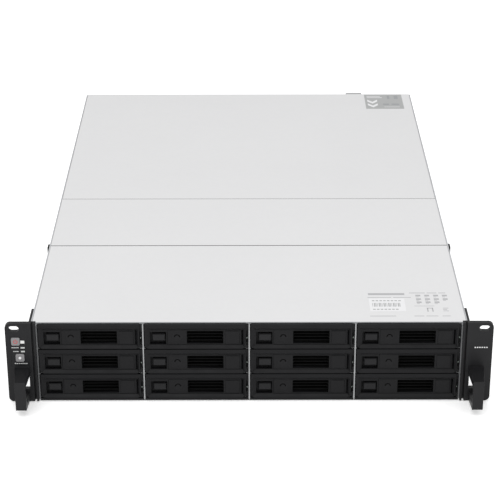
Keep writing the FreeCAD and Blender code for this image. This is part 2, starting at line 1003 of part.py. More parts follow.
def tray_button():
    """The release button: a stepped key with a keeper behind the bezel wall."""
    right, high = "button_left + button_width", "button_low + button_height"
    step = "button_front + button_step"
    wall = "recess_depth + web + drive_play"
    key = tapered(
        "button_key",
        (
            "button_left + button_slope", "button_low + button_slope",
            f"{right} - button_slope", f"{high} - button_slope",
        ),
        ("button_left", "button_low", right, high),
        "button_front", step,
    )
    stem = block(
        "button_stem",
        ("button_left", step, "button_low"),
        (right, f"{wall} + button_keeper_thick", high),
    )
    keeper = block(
        "button_keeper",
        ("button_left - button_keeper", wall, "button_low - button_keeper"),
        (f"{right} + button_keeper", f"{wall} + button_keeper_thick", f"{high} + button_keeper"),
    )
    return joined("button", [key, stem, keeper])


def light_pipes():
    """Two light guides that end in the margin at the right of the bezel."""
    return [
        rod(f"light_pipe_{i}", ("light_x", "margin_front", z), "light_radius", "flange_depth")
        for i, z in enumerate(light_heights())
    ]


def drive_trays():
    """Twelve trays with their drives, levers and release buttons."""
    tray = [tray_carrier(), drive()] + light_pipes()
    lever = [tray_lever(), tray_lock()]
    button = [tray_button()]
    for row in range(ROWS):
        for column in range(COLUMNS):
            spot = f"r{row + 1}c{column + 1}"
            x, z = bay_x(column), f"row_base + {row} * row_pitch"
            node(f"tray_{spot}", tray, x=x, z=z)
            node(f"tray_lever_{spot}", lever, x=x, z=z)
            node(f"tray_button_{spot}", button, x=x, z=z)


# ---------------------------------------------------------------- fans


def fan_frame():
    """A fan housing with a motor seat on arms at its rear face."""
    half = "(fan_size / 2)"
    case = block("fan_case", (f"-{half}", "0", f"-{half}"), (half, "fan_depth", half))
    bore = rod("fan_bore_hole", ("0", "0", "0"), "fan_bore", "fan_depth")
    parts = [
        cut("fan_ring", case, [bore]),
        rod("motor_seat", ("0", "fan_depth - seat_depth", "0"), "hub_radius - 2 * overlap", "seat_depth"),
    ]
    for number in range(FAN_ARMS):
        arm = rod(
            f"fan_arm_{number}", ("0", "fan_depth - 1.25 * arm_radius", "0"),
            "arm_radius", "fan_bore + 2 * overlap", "z",
        )
        angle = ARM_START + 360 / FAN_ARMS * number
        arm.Placement = Placement(arm.Placement.Base, Rotation(Vector(0, 1, 0), angle))
        parts.append(arm)
    bearing = rod(
        "bearing_hole", ("0", "fan_depth - 2 * seat_depth", "0"),
        "shaft_radius + pin_clearance", "2 * seat_depth",
    )
    return cut("fan_housing", joined("fan_solid", parts), [bearing])


def fan_rotor():
    """Hub, shaft and slanted blades that turn about Y."""
    body = new_body("rotor")
    hub = sketch(body, "XZ", "hub_outline", "-hub_front")
    circle(hub, "0", "0", "hub_radius")
    pad(body, hub, "hub", "hub_length", reverse=True)
    shaft = sketch(body, "XZ", "shaft_outline", "-(hub_front + hub_length - 2 * overlap)")
    circle(shaft, "0", "0", "shaft_radius")
    pad(body, shaft, "shaft", "shaft_length", reverse=True)
    blade = sketch(body, "YZ", "blade_outline", "blade_root")
    polygon(blade, [
        ("blade_front", "-blade_lean"),
        ("blade_front + blade_thick", "-blade_lean"),
        ("blade_rear", "blade_lean"),
        ("blade_rear - blade_thick", "blade_lean"),
    ])
    blade_pad = pad(body, blade, "blade", "blade_reach - blade_root")
    ring = body.newObject("PartDesign::PolarPattern", "blades")
    ring.Originals = [blade_pad]
    ring.Axis = (origin_feature(body, "Y_Axis"), [""])
    ring.Angle = 360
    ring.Occurrences = BLADES
    body.Tip = ring
    return body


def fans():
    """Four fans in a cross wall."""
    frame = fan_frame()
    rotor = fan_rotor()
    wall = new_body("fan_wall")
    outline = sketch(wall, "XZ", "fan_wall_outline", "-fan_y")
    rectangle(outline, "-fan_wall_half", "metal", "fan_wall_half", "fan_wall_top")
    spots = [bay_x(number) for number in range(FANS)]
    for x in spots:
        circle(outline, x, "fan_z", "fan_bore")
    pad(wall, outline, "fan_wall_sheet", "metal")
    frames = [
        group(f"fan_frame_{number}", [frame], x, "fan_y", "fan_z")
        for number, x in enumerate(spots, start=1)
    ]
    node("fan_frames", [wall] + frames)
    for number, x in enumerate(spots, start=1):
        node(f"fan_rotor_{number}", [rotor], x, "fan_y", "fan_z")


# ---------------------------------------------------------------- electronics


def main_board():
    """The main board with its memory, port blocks, chip, power plug and card slot blanks."""
    top = "main_z + board"

    def part(name, left, front, right, rear, height):
        return block(name, (left, front, top), (right, rear, f"{top} + {height}"))

    ports_front = "ports_rear - ports_depth"
    sheet_end = ("main_right", "main_y + main_length", top)
    parts = [
        block("main_sheet", ("main_left", "main_y", "main_z"), sheet_end),
        part("ports_a", "port_a_left", ports_front, "port_a_right", "ports_rear", "port_a_height"),
        part("ports_b", "port_b_left", ports_front, "port_b_right", "ports_rear", "port_b_height"),
        part(
            "chip", "chip_left", "chip_front",
            "chip_left + chip_side", "chip_front + chip_side", "chip_height",
        ),
        part(
            "power_plug", "plug_left", "plug_front",
            "plug_left + plug_width", "plug_front + plug_length", "plug_width",
        ),
    ]
    for number in range(MEMORY_SLOTS):
        left = f"memory_left + {number} * memory_pitch"
        parts.append(part(
            f"memory_{number}", left, "memory_front",
            f"{left} + memory_thick", "memory_front + memory_length", "memory_height",
        ))
    for number in range(CARDS):
        low = f"blank_low + {number} * card_pitch"
        parts.append(block(
            f"card_blank_{number}",
            ("blank_left", "chassis_rear - 3 * metal", low),
            ("blank_right", "chassis_rear - metal", f"{low} + blank_height"),
        ))
    node("main_board", parts)


def heatsink():
    """A finned block on the processor."""
    body = new_body("heatsink")
    base = "main_z + board"
    foot = sketch(body, "XY", "foot_outline", base)
    right = f"cooler_left + {FINS - 1} * fin_pitch + fin"
    rectangle(foot, "cooler_left", "cooler_front", right, "cooler_rear")
    pad(body, foot, "foot_pad", "cooler_foot")
    blade = sketch(body, "XY", "fin_outline", f"{base} + cooler_foot - fin")
    rectangle(blade, "cooler_left", "cooler_front", "cooler_left + fin", "cooler_rear")
    first = pad(body, blade, "fin_pad", "fin_height")
    repeat(body, first, "fins", "X", FINS, "fin_pitch")
    node("cpu_heatsink", [body])


def power_supply():
    """One hot-swap supply: case, mains inlet, exhaust grille and a fixed pull loop."""
    right, top = "psu_left + psu_width", "psu_low + psu_height"
    case = block("psu_case", ("psu_left", "psu_front", "psu_low"), (right, "psu_rear", top))
    rooms = [
        rod(
            "grille_room", ("psu_left + grille_x", "psu_rear - grille_depth", "psu_low + grille_z"),
            "grille_radius", "grille_depth + play",
        ),
        psu_block("inlet_room", "inlet", "psu_rear - inlet_depth", "psu_rear + play"),
        psu_block("thumb_room", "thumb", "psu_rear - grille_depth", "psu_rear + play"),
    ]
    shell = joined("psu_shell", [cut("psu_hollowed", case, rooms)] + grille())
    return [shell, mains_inlet(), pull_loop()]


def psu_block(name, kind, front, rear, inset="0"):
    """A block over one of the named areas of a supply's rear face."""
    left, right = f"psu_left + {kind}_left + {inset}", f"psu_left + {kind}_right - {inset}"
    low, high = f"psu_low + {kind}_low + {inset}", f"psu_low + {kind}_high - {inset}"
    return block(name, (left, front, low), (right, rear, high))


def grille():
    """Rings and two spokes over the exhaust opening of a supply."""
    x, z = "psu_left + grille_x", "psu_low + grille_z"
    front, rear = "psu_rear - 1.5 * ring_thick", "psu_rear - ring_thick / 2"
    rings = []
    for number in range(GRILLE_RINGS):
        radius = f"ring_radius - {number} * ring_pitch"
        outer = rod(f"ring_outer_{number}", (x, front, z), radius, "ring_thick")
        hole = rod(f"ring_hole_{number}", (x, front, z), f"{radius} - ring_wide", "ring_thick")
        rings.append(cut(f"ring_{number}", outer, [hole]))
    reach = "(grille_radius + overlap)"
    flat = block(
        "spoke_flat",
        (f"{x} - {reach}", front, f"{z} - spoke"),
        (f"{x} + {reach}", rear, f"{z} + spoke"),
    )
    tall = block(
        "spoke_tall",
        (f"{x} - spoke", front, f"{z} - {reach}"),
        (f"{x} + spoke", rear, f"{z} + {reach}"),
    )
    return rings + [flat, tall]


def mains_inlet():
    """The socket for the mains lead, with its pins."""
    wall = "psu_rear - inlet_depth"
    outer = psu_block("inlet_block", "inlet", wall, "psu_rear + rim")
    cavity = psu_block(
        "inlet_cavity", "inlet", f"{wall} + inlet_wall", "psu_rear + 2 * rim", "inlet_wall"
    )
    shell = cut("inlet_socket", outer, [cavity])
    middle = "psu_low + (inlet_low + inlet_high) / 2"
    pins = []
    for number in range(INLET_PINS):
        left = f"psu_left + inlet_left + 2 * inlet_wall + {number} * inlet_pin_pitch"
        pins.append(block(
            f"inlet_pin_{number}",
            (left, f"{wall} + inlet_pin", middle),
            (f"{left} + inlet_pin", "psu_rear - inlet_pin_height", f"{middle} + inlet_pin_height"),
        ))
    return joined("inlet", [shell] + pins)


def pull_loop():
    """The loop that a supply is pulled out by."""
    left = "psu_left + loop_left"
    outer = block(
        "loop_outer",
        (left, "psu_rear", "psu_low + loop_low"),
        (f"{left} + loop_thick", "psu_grip", "psu_low + loop_high"),
    )
    inner = block(
        "loop_inner",
        (f"{left} - play", "psu_rear - play", "psu_low + loop_low + loop_bar"),
        (f"{left} + loop_thick + play", "psu_grip - loop_bar", "psu_low + loop_high - loop_bar"),
    )
    return cut("psu_loop", outer, [inner])


def psu_latch():
    """The thumb latch of a supply, which slides sideways in its pocket."""
    left = "psu_left + thumb_left + 2 * play"
    low, high = "psu_low + thumb_low", "psu_low + thumb_high"
    foot = block(
        "thumb_foot",
        (left, "psu_rear - grille_depth + 2 * play", f"{low} + 3 * play"),
        (f"{left} + thumb_length", "psu_rear - rim", f"{high} - 3 * play"),
    )
    tab = block(
        "thumb_tab_block",
        (f"{left} + thumb_travel", "psu_rear - 2 * rim", f"{low} + 2 * rim"),
        (f"{left} + thumb_travel + thumb_tab", "psu_rear + thumb_tab_reach", f"{high} - 2 * rim"),
    )
    return joined("psu_thumb_latch", [foot, tab])


def power_supplies():
    """Two supplies, one above the other."""
    supply = power_supply()
    thumb = [psu_latch()]
    for name, lift in (("lower", "0"), ("upper", "psu_pitch")):
        node(f"psu_{name}", supply, z=lift)
        node(f"psu_latch_{name}", thumb, z=lift)


# ---------------------------------------------------------------- rack ears


def ear_plate(name, with_panel):
    """The left rack ear: front plate, groove, side arm and pull handle in one moulding."""
    body = new_body(name)
    outline = sketch(body, "XZ", name + "_outline")
    left = "-rack_width / 2"
    rectangle(outline, left, "ear_low", "-ear_inner", "unit_height")
    slab = pad(body, outline, name + "_slab", "ear_thick", reverse=True)
    outside = value(left)

    def outer_corner(edge):
        return along(edge, Vector(0, 1, 0)) and abs(edge.CenterOfMass.x - outside) < SMALL

    fillet(body, slab, name + "_corners", "ear_corner", outer_corner)
    arm = sketch(body, "XY", name + "_arm_outline", "arm_low")
    rectangle(
        arm, "-(chassis_width / 2 + arm_thick)", "ear_thick - 2 * overlap", "-chassis_width / 2", "arm_rear"
    )
    pad(body, arm, name + "_arm", "unit_height - arm_low")
    pull_handle(body, name)

    groove = sketch(body, "XZ", name + "_groove_outline")
    rectangle(groove, "-groove_outer", "0", "-groove_inner", "unit_height + 2 * overlap")
    pocket(body, groove, name + "_groove", "groove_depth")
    window = sketch(body, "XZ", name + "_window_outline")
    rectangle(window, "-window_outer", "window_low", "-window_inner", "grip_high - shelf_thick")
    pocket(body, window, name + "_window", "ear_thick")
    slot = sketch(body, "XZ", name + "_slot_outline")
    rounded_slot(slot, "-slot_x", "slot_z", "slot_length", "slot_radius")
    pocket(body, slot, name + "_slot", "ear_thick")
    if with_panel:
        recess = sketch(body, "XZ", name + "_panel_outline")
        rectangle(recess, "pad_left", "pad_low", "pad_right", "pad_high")
        pocket(body, recess, name + "_panel", "pad_step")
        keys = sketch(body, "XZ", name + "_key_openings")
        reach = "(key_half + play)"
        for x, z in (("power_x", "power_z"), ("select_x", "select_z")):
            rectangle(keys, f"{x} - {reach}", f"{z} - {reach}", f"{x} + {reach}", f"{z} + {reach}")
        pocket(body, keys, name + "_keys", "ear_thick")
    return body


def pull_handle(body, name):
    """A shelf that runs forwards from the plate, a grip that hangs down from it and a foot."""
    shelf = sketch(body, "XY", name + "_shelf_outline", "grip_high - shelf_thick")
    polygon(shelf, [
        ("-grip_outer", "grip_front"), ("-grip_inner", "grip_front"),
        ("-shelf_inner", "grip_root"), ("-shelf_outer", "grip_root"),
    ])
    pad(body, shelf, name + "_shelf", "shelf_thick")
    grip = sketch(body, "XY", name + "_grip_outline", "grip_low")
    rectangle(grip, "-grip_outer", "grip_front", "-grip_inner", "grip_front + grip_thick")
    pad(body, grip, name + "_grip", "grip_high - grip_low")
    foot = sketch(body, "YZ", name + "_foot_outline", "-grip_outer")
    polygon(foot, [
        ("grip_front", "grip_low"), ("grip_front + grip_thick", "grip_low + foot_rise"),
        ("grip_root", "foot_root"), ("grip_root", "arm_low"),
    ])
    pad(body, foot, name + "_foot", "grip_outer - grip_inner")


def rounded_slot(item, x, z, length, radius):
    """A horizontal slot with round ends in a sketch."""
    reach = f"({length}) / 2 - {radius}"
    left, right = f"{x} - ({reach})", f"{x} + ({reach})"
    first = item.GeometryCount
    low, high = f"{z} - {radius}", f"{z} + {radius}"
    size = value(radius)
    up = Vector(0, 0, 1)
    ends = [Part.Circle(Vector(value(side), value(z), 0), up, size) for side in (right, left)]
    item.addGeometry(Part.LineSegment(
        Vector(value(left), value(low), 0), Vector(value(right), value(low), 0)), False)
    item.addGeometry(Part.ArcOfCircle(ends[0], -math.pi / 2, math.pi / 2), False)
    item.addGeometry(Part.LineSegment(
        Vector(value(right), value(high), 0), Vector(value(left), value(high), 0)), False)
    item.addGeometry(Part.ArcOfCircle(ends[1], math.pi / 2, 1.5 * math.pi), False)
    for i in range(4):
        after = first + (i + 1) % 4
        item.addConstraint(Sketcher.Constraint("Tangent", first + i, 2, after, 1))
    pin_point(item, first + 1, 3, right, z)
    pin_point(item, first + 3, 3, left, z)
    rule = item.addConstraint(Sketcher.Constraint("Radius", first + 1, size))
    item.setExpression(f"Constraints[{rule}]", bound(radius))


def status_lenses():
    """A light bar beside the power key and two small windows under it."""
    front = "pad_step - lens_proud"
    rows = (
        ("light_bar_low", "light_bar_height"),
        ("lens_low + lens_gap", "lens_height"),
        ("lens_low", "lens_height"),
    )
    return [
        block(f"lens_{i}", ("lens_left", front, low), ("lens_right", "pad_step", f"{low} + {height}"))
        for i, (low, height) in enumerate(rows)
    ]


def ear_key(name, x, z):
    """A square key with rounded corners that moves in its opening."""
    body = new_body(name)
    outline = sketch(body, "XZ", name + "_outline", "-(pad_step - key_proud)")
    rectangle(outline, f"{x} - key_half", f"{z} - key_half", f"{x} + key_half", f"{z} + key_half")
    slab = pad(body, outline, name + "_pad", "key_depth + key_proud", reverse=True)
    front = value("pad_step - key_proud")

    def corner(edge):
        return along(edge, Vector(0, 1, 0))

    def rim(edge):
        return abs(edge.CenterOfMass.y - front) < SMALL

    rounded = fillet(body, slab, name + "_corners", "key_corner", corner)
    fillet(body, rounded, name + "_edge", "key_rim", rim)
    return body


def ears():
    """Both ears, and the two keys on the left one."""
    left = ear_plate("left_ear_body", True)
    right = ear_plate("right_ear_body", False)
    node("left_ear", [left] + status_lenses())
    node("right_ear", [mirrored("right_ear_mirror", right)])
    node("power_button", [ear_key("power_key", "power_x", "power_z")])
    node("select_button", [ear_key("select_key", "select_x", "select_z")])


# ---------------------------------------------------------------- check and write


def check_document():
    """Stop if any object failed, or a finished piece has no valid solid."""
    for item in doc.Objects:
        if {"Invalid", "Error"} & set(item.State):
            raise RuntimeError(f"{item.Name} failed: {item.State}")
        if item.TypeId == "PartDesign::Pocket":
            before = item.BaseFeature.Shape.Volume
            if before - item.Shape.Volume < 1e-3:
                raise RuntimeError(f"{item.Name} cut nothing")
    for item in nodes:
        if item.Shape.isNull() or not item.Shape.isValid() or not item.Shape.Solids:
            raise RuntimeError(f"{item.Label} has no valid shape")


def write_parts():
    """Write one STEP file for each finished piece."""
    os.makedirs("parts", exist_ok=True)
    for item in nodes:
        item.Shape.exportStep(f"parts/{item.Label}.step")


chassis_base()
front_cover()
fan_door()
rear_cover()
cover_latches()
rear_panel()
drive_cage()
backplane()
drive_trays()
fans()
main_board()
heatsink()
power_supplies()
ears()
doc.recompute()
check_document()
write_parts()
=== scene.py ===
import math

import bmesh
import bpy
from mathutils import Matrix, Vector


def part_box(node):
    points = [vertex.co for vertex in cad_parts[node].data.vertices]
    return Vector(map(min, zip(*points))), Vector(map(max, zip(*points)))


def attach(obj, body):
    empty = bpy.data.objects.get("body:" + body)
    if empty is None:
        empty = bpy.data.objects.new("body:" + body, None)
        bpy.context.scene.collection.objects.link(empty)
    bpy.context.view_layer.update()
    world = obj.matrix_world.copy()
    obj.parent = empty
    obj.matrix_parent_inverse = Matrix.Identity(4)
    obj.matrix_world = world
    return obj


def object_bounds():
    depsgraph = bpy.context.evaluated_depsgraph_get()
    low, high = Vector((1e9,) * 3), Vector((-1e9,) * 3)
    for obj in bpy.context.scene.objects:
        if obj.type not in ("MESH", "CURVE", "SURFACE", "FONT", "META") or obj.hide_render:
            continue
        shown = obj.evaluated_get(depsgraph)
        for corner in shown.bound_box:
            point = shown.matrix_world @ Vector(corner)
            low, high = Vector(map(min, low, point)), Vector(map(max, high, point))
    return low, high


# The looks of a two-unit-high rack storage server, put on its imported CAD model. Sizes are in
# millimetres. X runs to the right seen from the front, depth Y to the back from the front face of
# the rack ears, and height Z up.

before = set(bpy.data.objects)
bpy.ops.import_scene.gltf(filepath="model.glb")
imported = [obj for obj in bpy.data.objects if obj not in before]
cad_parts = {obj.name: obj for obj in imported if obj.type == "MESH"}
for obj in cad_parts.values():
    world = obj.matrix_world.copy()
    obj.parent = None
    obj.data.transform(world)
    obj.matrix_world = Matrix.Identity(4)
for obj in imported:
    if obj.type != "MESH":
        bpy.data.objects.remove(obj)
CAD_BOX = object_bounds()

MM = 0.001
HANDLE_REACH = 31
FRONT = Vector((0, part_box("left_ear")[0].y + HANDLE_REACH * MM, 0))


def span(node):
    """A node's lowest and highest corners, in millimetres from the middle of the ears' face."""
    return [(corner - FRONT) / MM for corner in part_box(node)]


def middle(node):
    """The centre of a node, in the same millimetres."""
    low, high = span(node)
    return (low + high) / 2


# the case
TOP = span("front_cover")[1].z
SIDE = span("chassis_base")[1].x
REAR = span("chassis_base")[1].y
DOOR_FRONT = span("fan_door")[0].y
COVER_FRONT = span("rear_cover")[0].y

# drive bays, counted from 1 at the lower left
ROWS = 3
COLUMNS = 4
FIRST_TRAY = span("tray_r1c1")[0]
BAY_PITCH = span("tray_r1c2")[0].x - FIRST_TRAY.x
ROW_PITCH = span("tray_r2c1")[0].z - FIRST_TRAY.z
TRAY_FOOT = 0.1
ROW_BASE = FIRST_TRAY.z - TRAY_FOOT
DRIVE_TOP = 26.2

# power supplies
SUPPLY_PITCH = span("psu_upper")[0].z - span("psu_lower")[0].z
SUPPLY_REAR = 660.4

# card slots and the main board
SLOTS = 4
SLOT_PITCH = 17
BOARD_TOP = 8.8


# ---------------------------------------------------------------- materials


class Finish:
    """A node-based material: a principled shader with named helpers for what feeds it."""

    def __init__(self, name, colour, roughness, metallic=0.0, specular=0.5):
        """Start from one colour and roughness."""
        self.material = bpy.data.materials.new(name)
        self.material.use_nodes = True
        self.nodes = self.material.node_tree.nodes
        self.links = self.material.node_tree.links
        self.shader = self.nodes["Principled BSDF"]
        self.shader.inputs["Base Color"].default_value = (*colour, 1)
        self.shader.inputs["Roughness"].default_value = roughness
        self.shader.inputs["Metallic"].default_value = metallic
        self.shader.inputs["Specular IOR Level"].default_value = specular
        self.place = self.nodes.new("ShaderNodeTexCoord").outputs["Object"]
        self.normal = None
        self.colour = None

    def node(self, kind, **values):
        """A new node, with inputs named by value."""
        item = self.nodes.new(kind)
        for key, setting in values.items():
            name = key.replace("_", " ")
            if name in item.inputs:
                item.inputs[name].default_value = setting
            else:
                setattr(item, key, setting)
        return item

    def noise(self, size, detail=3.0, stretch=None):
        """Noise whose features are about size millimetres."""
        place = self.place
        if stretch:
            shift = self.node("ShaderNodeMapping")
            shift.inputs["Scale"].default_value = stretch
            self.links.new(place, shift.inputs["Vector"])
            place = shift.outputs["Vector"]
        item = self.node("ShaderNodeTexNoise", Scale=1 / (size * MM), Detail=detail)
        self.links.new(place, item.inputs["Vector"])
        return item.outputs["Fac"]

    def ramp(self, source, low, high, start, end):
        """Map a value between two limits to two numbers."""
        item = self.node("ShaderNodeMapRange")
        item.inputs["From Min"].default_value = low
        item.inputs["From Max"].default_value = high
        item.inputs["To Min"].default_value = start
        item.inputs["To Max"].default_value = end
        self.links.new(source, item.inputs["Value"])
        return item.outputs["Result"]

    def tint(self, mask, colour):
        """Blend towards a colour where mask is 1."""
        mix = self.node("ShaderNodeMix", data_type="RGBA")
        under, over = [plug for plug in mix.inputs if plug.type == "RGBA"]
        base = self.shader.inputs["Base Color"]
        if self.colour:
            self.links.new(self.colour, under)
        else:
            under.default_value = base.default_value
        over.default_value = (*colour, 1)
        self.links.new(mask, mix.inputs["Factor"])
        self.colour = next(plug for plug in mix.outputs if plug.type == "RGBA")
        self.links.new(self.colour, base)
        return self

    def mottle(self, size, amount):
        """Soft lighter and darker patches."""
        base = self.shader.inputs["Base Color"]
        bright = self.node("ShaderNodeHueSaturation")
        if self.colour:
            self.links.new(self.colour, bright.inputs["Color"])
        else:
            bright.inputs["Color"].default_value = base.default_value
        change = self.ramp(self.noise(size), 0.25, 0.75, 1 - amount, 1 + amount)
        self.links.new(change, bright.inputs["Value"])
        self.colour = bright.outputs["Color"]
        self.links.new(self.colour, base)
        return self

    def gloss(self, size, low, high, stretch=None):
        """Roughness that wanders between two values."""
        change = self.ramp(self.noise(size, 4.0, stretch), 0.3, 0.7, low, high)
        self.links.new(change, self.shader.inputs["Roughness"])
        return self

    def bump(self, source, depth):
        """Relief from a value, depth in millimetres."""
        item = self.node("ShaderNodeBump", Strength=1.0, Distance=depth * MM)
        self.links.new(source, item.inputs["Height"])
        if self.normal:
            self.links.new(self.normal, item.inputs["Normal"])
        self.normal = item.outputs["Normal"]
        self.links.new(self.normal, self.shader.inputs["Normal"])
        return self

    def grain(self, size, depth, stretch=None):
        """Fine relief from noise."""
        return self.bump(self.noise(size, 2.0, stretch), depth)

    def edge(self, radius):
        """1 near sharp edges, 0 on flat faces."""
        soft = self.node("ShaderNodeBevel", samples=4)
        soft.inputs["Radius"].default_value = radius * MM
        hard = self.node("ShaderNodeNewGeometry")
        dot = self.node("ShaderNodeVectorMath", operation="DOT_PRODUCT")
        self.links.new(soft.outputs["Normal"], dot.inputs[0])
        self.links.new(hard.outputs["Normal"], dot.inputs[1])
        return self.ramp(dot.outputs["Value"], 0.995, 0.9, 0.0, 1.0)

    def soften(self, radius):
        """Edges that look rounded."""
        soft = self.node("ShaderNodeBevel", samples=6)
        soft.inputs["Radius"].default_value = radius * MM
        self.normal = soft.outputs["Normal"]
        self.links.new(self.normal, self.shader.inputs["Normal"])
        return self

    def worn(self, radius, colour, patch=6.0, share=0.6):
        """Edges rubbed lighter, in patches."""
        mask = self.node("ShaderNodeMath", operation="MULTIPLY")
        self.links.new(self.edge(radius), mask.inputs[0])
        self.links.new(self.ramp(self.noise(patch, 4.0), 0.4, 0.7, 0.0, share), mask.inputs[1])
        return self.tint(mask.outputs["Value"], colour)

    def lit(self, colour, strength):
        """Light given off."""
        self.shader.inputs["Emission Color"].default_value = (*colour, 1)
        self.shader.inputs["Emission Strength"].default_value = strength
        return self


def plastic(name, colour, roughness=0.5, specular=0.13, wear=0.5):
    """Moulded plastic with a fine spark-eroded grain and rubbed edges."""
    light = tuple(min(1.0, c * 1.8 + 0.012) for c in colour)
    finish = Finish(name, colour, roughness, specular=specular)
    finish.mottle(35, 0.08).gloss(12, roughness - 0.06, roughness + 0.08)
    finish.soften(0.25).grain(0.35, 0.02)
    return finish.worn(0.35, light, share=wear).material


def paint(name, colour, roughness):
    """Powder-coated sheet: very fine orange peel, faint cloudiness, slight handling marks."""
    finish = Finish(name, colour, roughness, specular=0.4)
    finish.mottle(180, 0.012).mottle(6, 0.008)
    finish.gloss(60, roughness - 0.05, roughness + 0.07)
    finish.grain(0.9, 0.012)
    return finish.worn(0.5, tuple(c * 0.86 for c in colour), patch=12, share=0.5).material


def zinc(name, colour, roughness):
    """Galvanised sheet with large crystals."""
    finish = Finish(name, colour, roughness, metallic=0.6)
    cells = finish.node("ShaderNodeTexVoronoi", Scale=1 / (7 * MM))
    finish.links.new(finish.place, cells.inputs["Vector"])
    grey = finish.node("ShaderNodeRGBToBW")
    finish.links.new(cells.outputs["Color"], grey.inputs["Color"])
    dark = tuple(c * 0.82 for c in colour)
    finish.tint(finish.ramp(grey.outputs["Val"], 0.2, 0.8, 0.0, 0.5), dark)
    finish.mottle(40, 0.03)
    finish.links.new(
        finish.ramp(grey.outputs["Val"], 0.2, 0.8, roughness - 0.04, roughness + 0.06),
        finish.shader.inputs["Roughness"],
    )
    return finish.grain(0.6, 0.01).material


def metal(name, colour, roughness, stretch=None):
    """Bare metal, brushed where a stretch is given."""
    finish = Finish(name, colour, roughness, metallic=1.0)
    finish.mottle(20, 0.06).gloss(5, roughness - 0.06, roughness + 0.1, stretch)
    finish.grain(0.5, 0.006, stretch)
    return finish.worn(0.3, tuple(min(1, c * 1.2) for c in colour), share=0.5).material


def board(name, colour):
    """Solder mask over copper tracks."""
    finish = Finish(name, colour, 0.32)
    tracks = finish.node("ShaderNodeTexBrick", Scale=1 / (5.5 * MM))
    tracks.inputs["Mortar Size"].default_value = 0.03
    finish.links.new(finish.place, tracks.inputs["Vector"])
    finish.tint(finish.ramp(tracks.outputs["Fac"], 0, 1, 0.0, 0.5), tuple(c * 2.1 for c in colour))
    finish.mottle(14, 0.12)
    return finish.grain(1.2, 0.01).material


def lamp(name, colour, strength):
    """A light guide or a lit window."""
    finish = Finish(name, colour, 0.3)
    finish.mottle(1.5, 0.15)
    return finish.lit(colour, strength).material


# Painted shade on the cage's front edges, darker than the zinc, and darkest beside the ears.
CAGE_EDGE_SHADE = paint("cage_front_edge_painted_shade", (0.33, 0.335, 0.34), 0.5)
CAGE_SHADE = paint("cage_outer_edge_painted_shade", (0.11, 0.112, 0.115), 0.5)
LID = paint("lid_paint", (0.668, 0.668, 0.673), 0.42)
ZINC = zinc("zinc_sheet", (0.56, 0.57, 0.585), 0.38)
TRAY = plastic("tray_plastic", (0.0078, 0.0078, 0.0086), 0.46)
LEVER = plastic("lever_plastic", (0.0082, 0.0082, 0.009), 0.42)
KEY = plastic("button_plastic", (0.0145, 0.0145, 0.0155), 0.44)
EAR = plastic("ear_plastic", (0.0115, 0.0115, 0.0125), 0.44, specular=0.18)
PANEL_KEY = plastic("key_plastic", (0.22, 0.215, 0.22), 0.4, wear=0.2)
LATCH = plastic("latch_plastic", (0.008, 0.008, 0.009), 0.5)
FAN = plastic("fan_plastic", (0.012, 0.012, 0.013), 0.5)
THUMB = plastic("thumb_latch_plastic", (0.01, 0.16, 0.06), 0.4)
# Near-black socket plastic, also painted shade in seams, slots, small holes, grilles and drive fronts.
SOCKET_AND_SHADE = plastic("socket_plastic_and_painted_shade", (0.004, 0.004, 0.004), 0.7, specular=0.08, wear=0.05)
RUBBER = plastic("cable_sleeve", (0.008, 0.008, 0.008), 0.7, wear=0.1)
BOARD = board("solder_mask", (0.006, 0.085, 0.04))
DRIVE_CASE = metal("drive_casting", (0.50, 0.51, 0.53), 0.46)
DRIVE_LID = metal("drive_lid", (0.70, 0.71, 0.73), 0.30, stretch=(0.05, 1, 1))
ALUMINIUM = metal("heatsink_metal", (0.72, 0.73, 0.75), 0.32, stretch=(1, 0.05, 1))
STEEL = metal("port_steel", (0.62, 0.63, 0.64), 0.28)
GOLD = metal("contact_gold", (0.80, 0.56, 0.20), 0.25)
LOCK = plastic("lock_barrel_plastic", (0.009, 0.009, 0.0098), 0.38)
PSU = zinc("supply_sheet", (0.47, 0.48, 0.495), 0.4)
GUIDE = lamp("light_guide", (0.36, 0.42, 0.38), 0.03)
GUIDE_DARK = plastic("light_guide_dark", (0.05, 0.05, 0.05), 0.3, wear=0.1)
LIGHT_BAR = lamp("light_bar", (0.62, 0.62, 0.61), 0.02)
WINDOW = lamp("status_window", (0.45, 0.46, 0.45), 0.01)
PRINT = paint("grey_print", (0.40, 0.40, 0.41), 0.5)
STICKER = paint("white_label", (0.74, 0.74, 0.75), 0.35)
# Grey label print, also painted shade on the rear lid's pull tab.
GREY_LABEL_AND_SHADE = paint("grey_label_and_painted_shade", (0.365, 0.37, 0.37), 0.4)
# Dark label print and drive seals, also painted shade on the foot of the front lid's fold.
DARK_LABEL_AND_SHADE = paint("dark_label_and_painted_shade", (0.28, 0.29, 0.30), 0.4)
MARK_RED = paint("red_mark", (0.42, 0.05, 0.05), 0.4)
MARK_WHITE = paint("white_mark", (0.65, 0.65, 0.65), 0.4)


# ---------------------------------------------------------------- carried-over CAD nodes


# Points closer than this many metres are one; angles in degrees between faces that count as one
# flat face, or that meet in an edge to round.
WELD = 1e-6
FLAT = 1
SHARP = 30


def polish(item, radius):
    """Round the edges of a CAD node and shade it cleanly, without touching its mesh."""
    item.data.polygons.foreach_set("use_smooth", [True] * len(item.data.polygons))
    weld = item.modifiers.new("weld", "WELD")
    weld.merge_threshold = WELD
    flat = item.modifiers.new("flat", "DECIMATE")
    flat.decimate_type = "DISSOLVE"
    flat.angle_limit = math.radians(FLAT)
    flat.delimit = {"MATERIAL"}
    bevel = item.modifiers.new("bevel", "BEVEL")
    bevel.width = radius * MM
    bevel.segments = 2
    bevel.limit_method = "ANGLE"
    bevel.angle_limit = math.radians(SHARP)
    bevel.harden_normals = True
    tidy = item.modifiers.new("normals", "WEIGHTED_NORMAL")
    tidy.keep_sharp = True


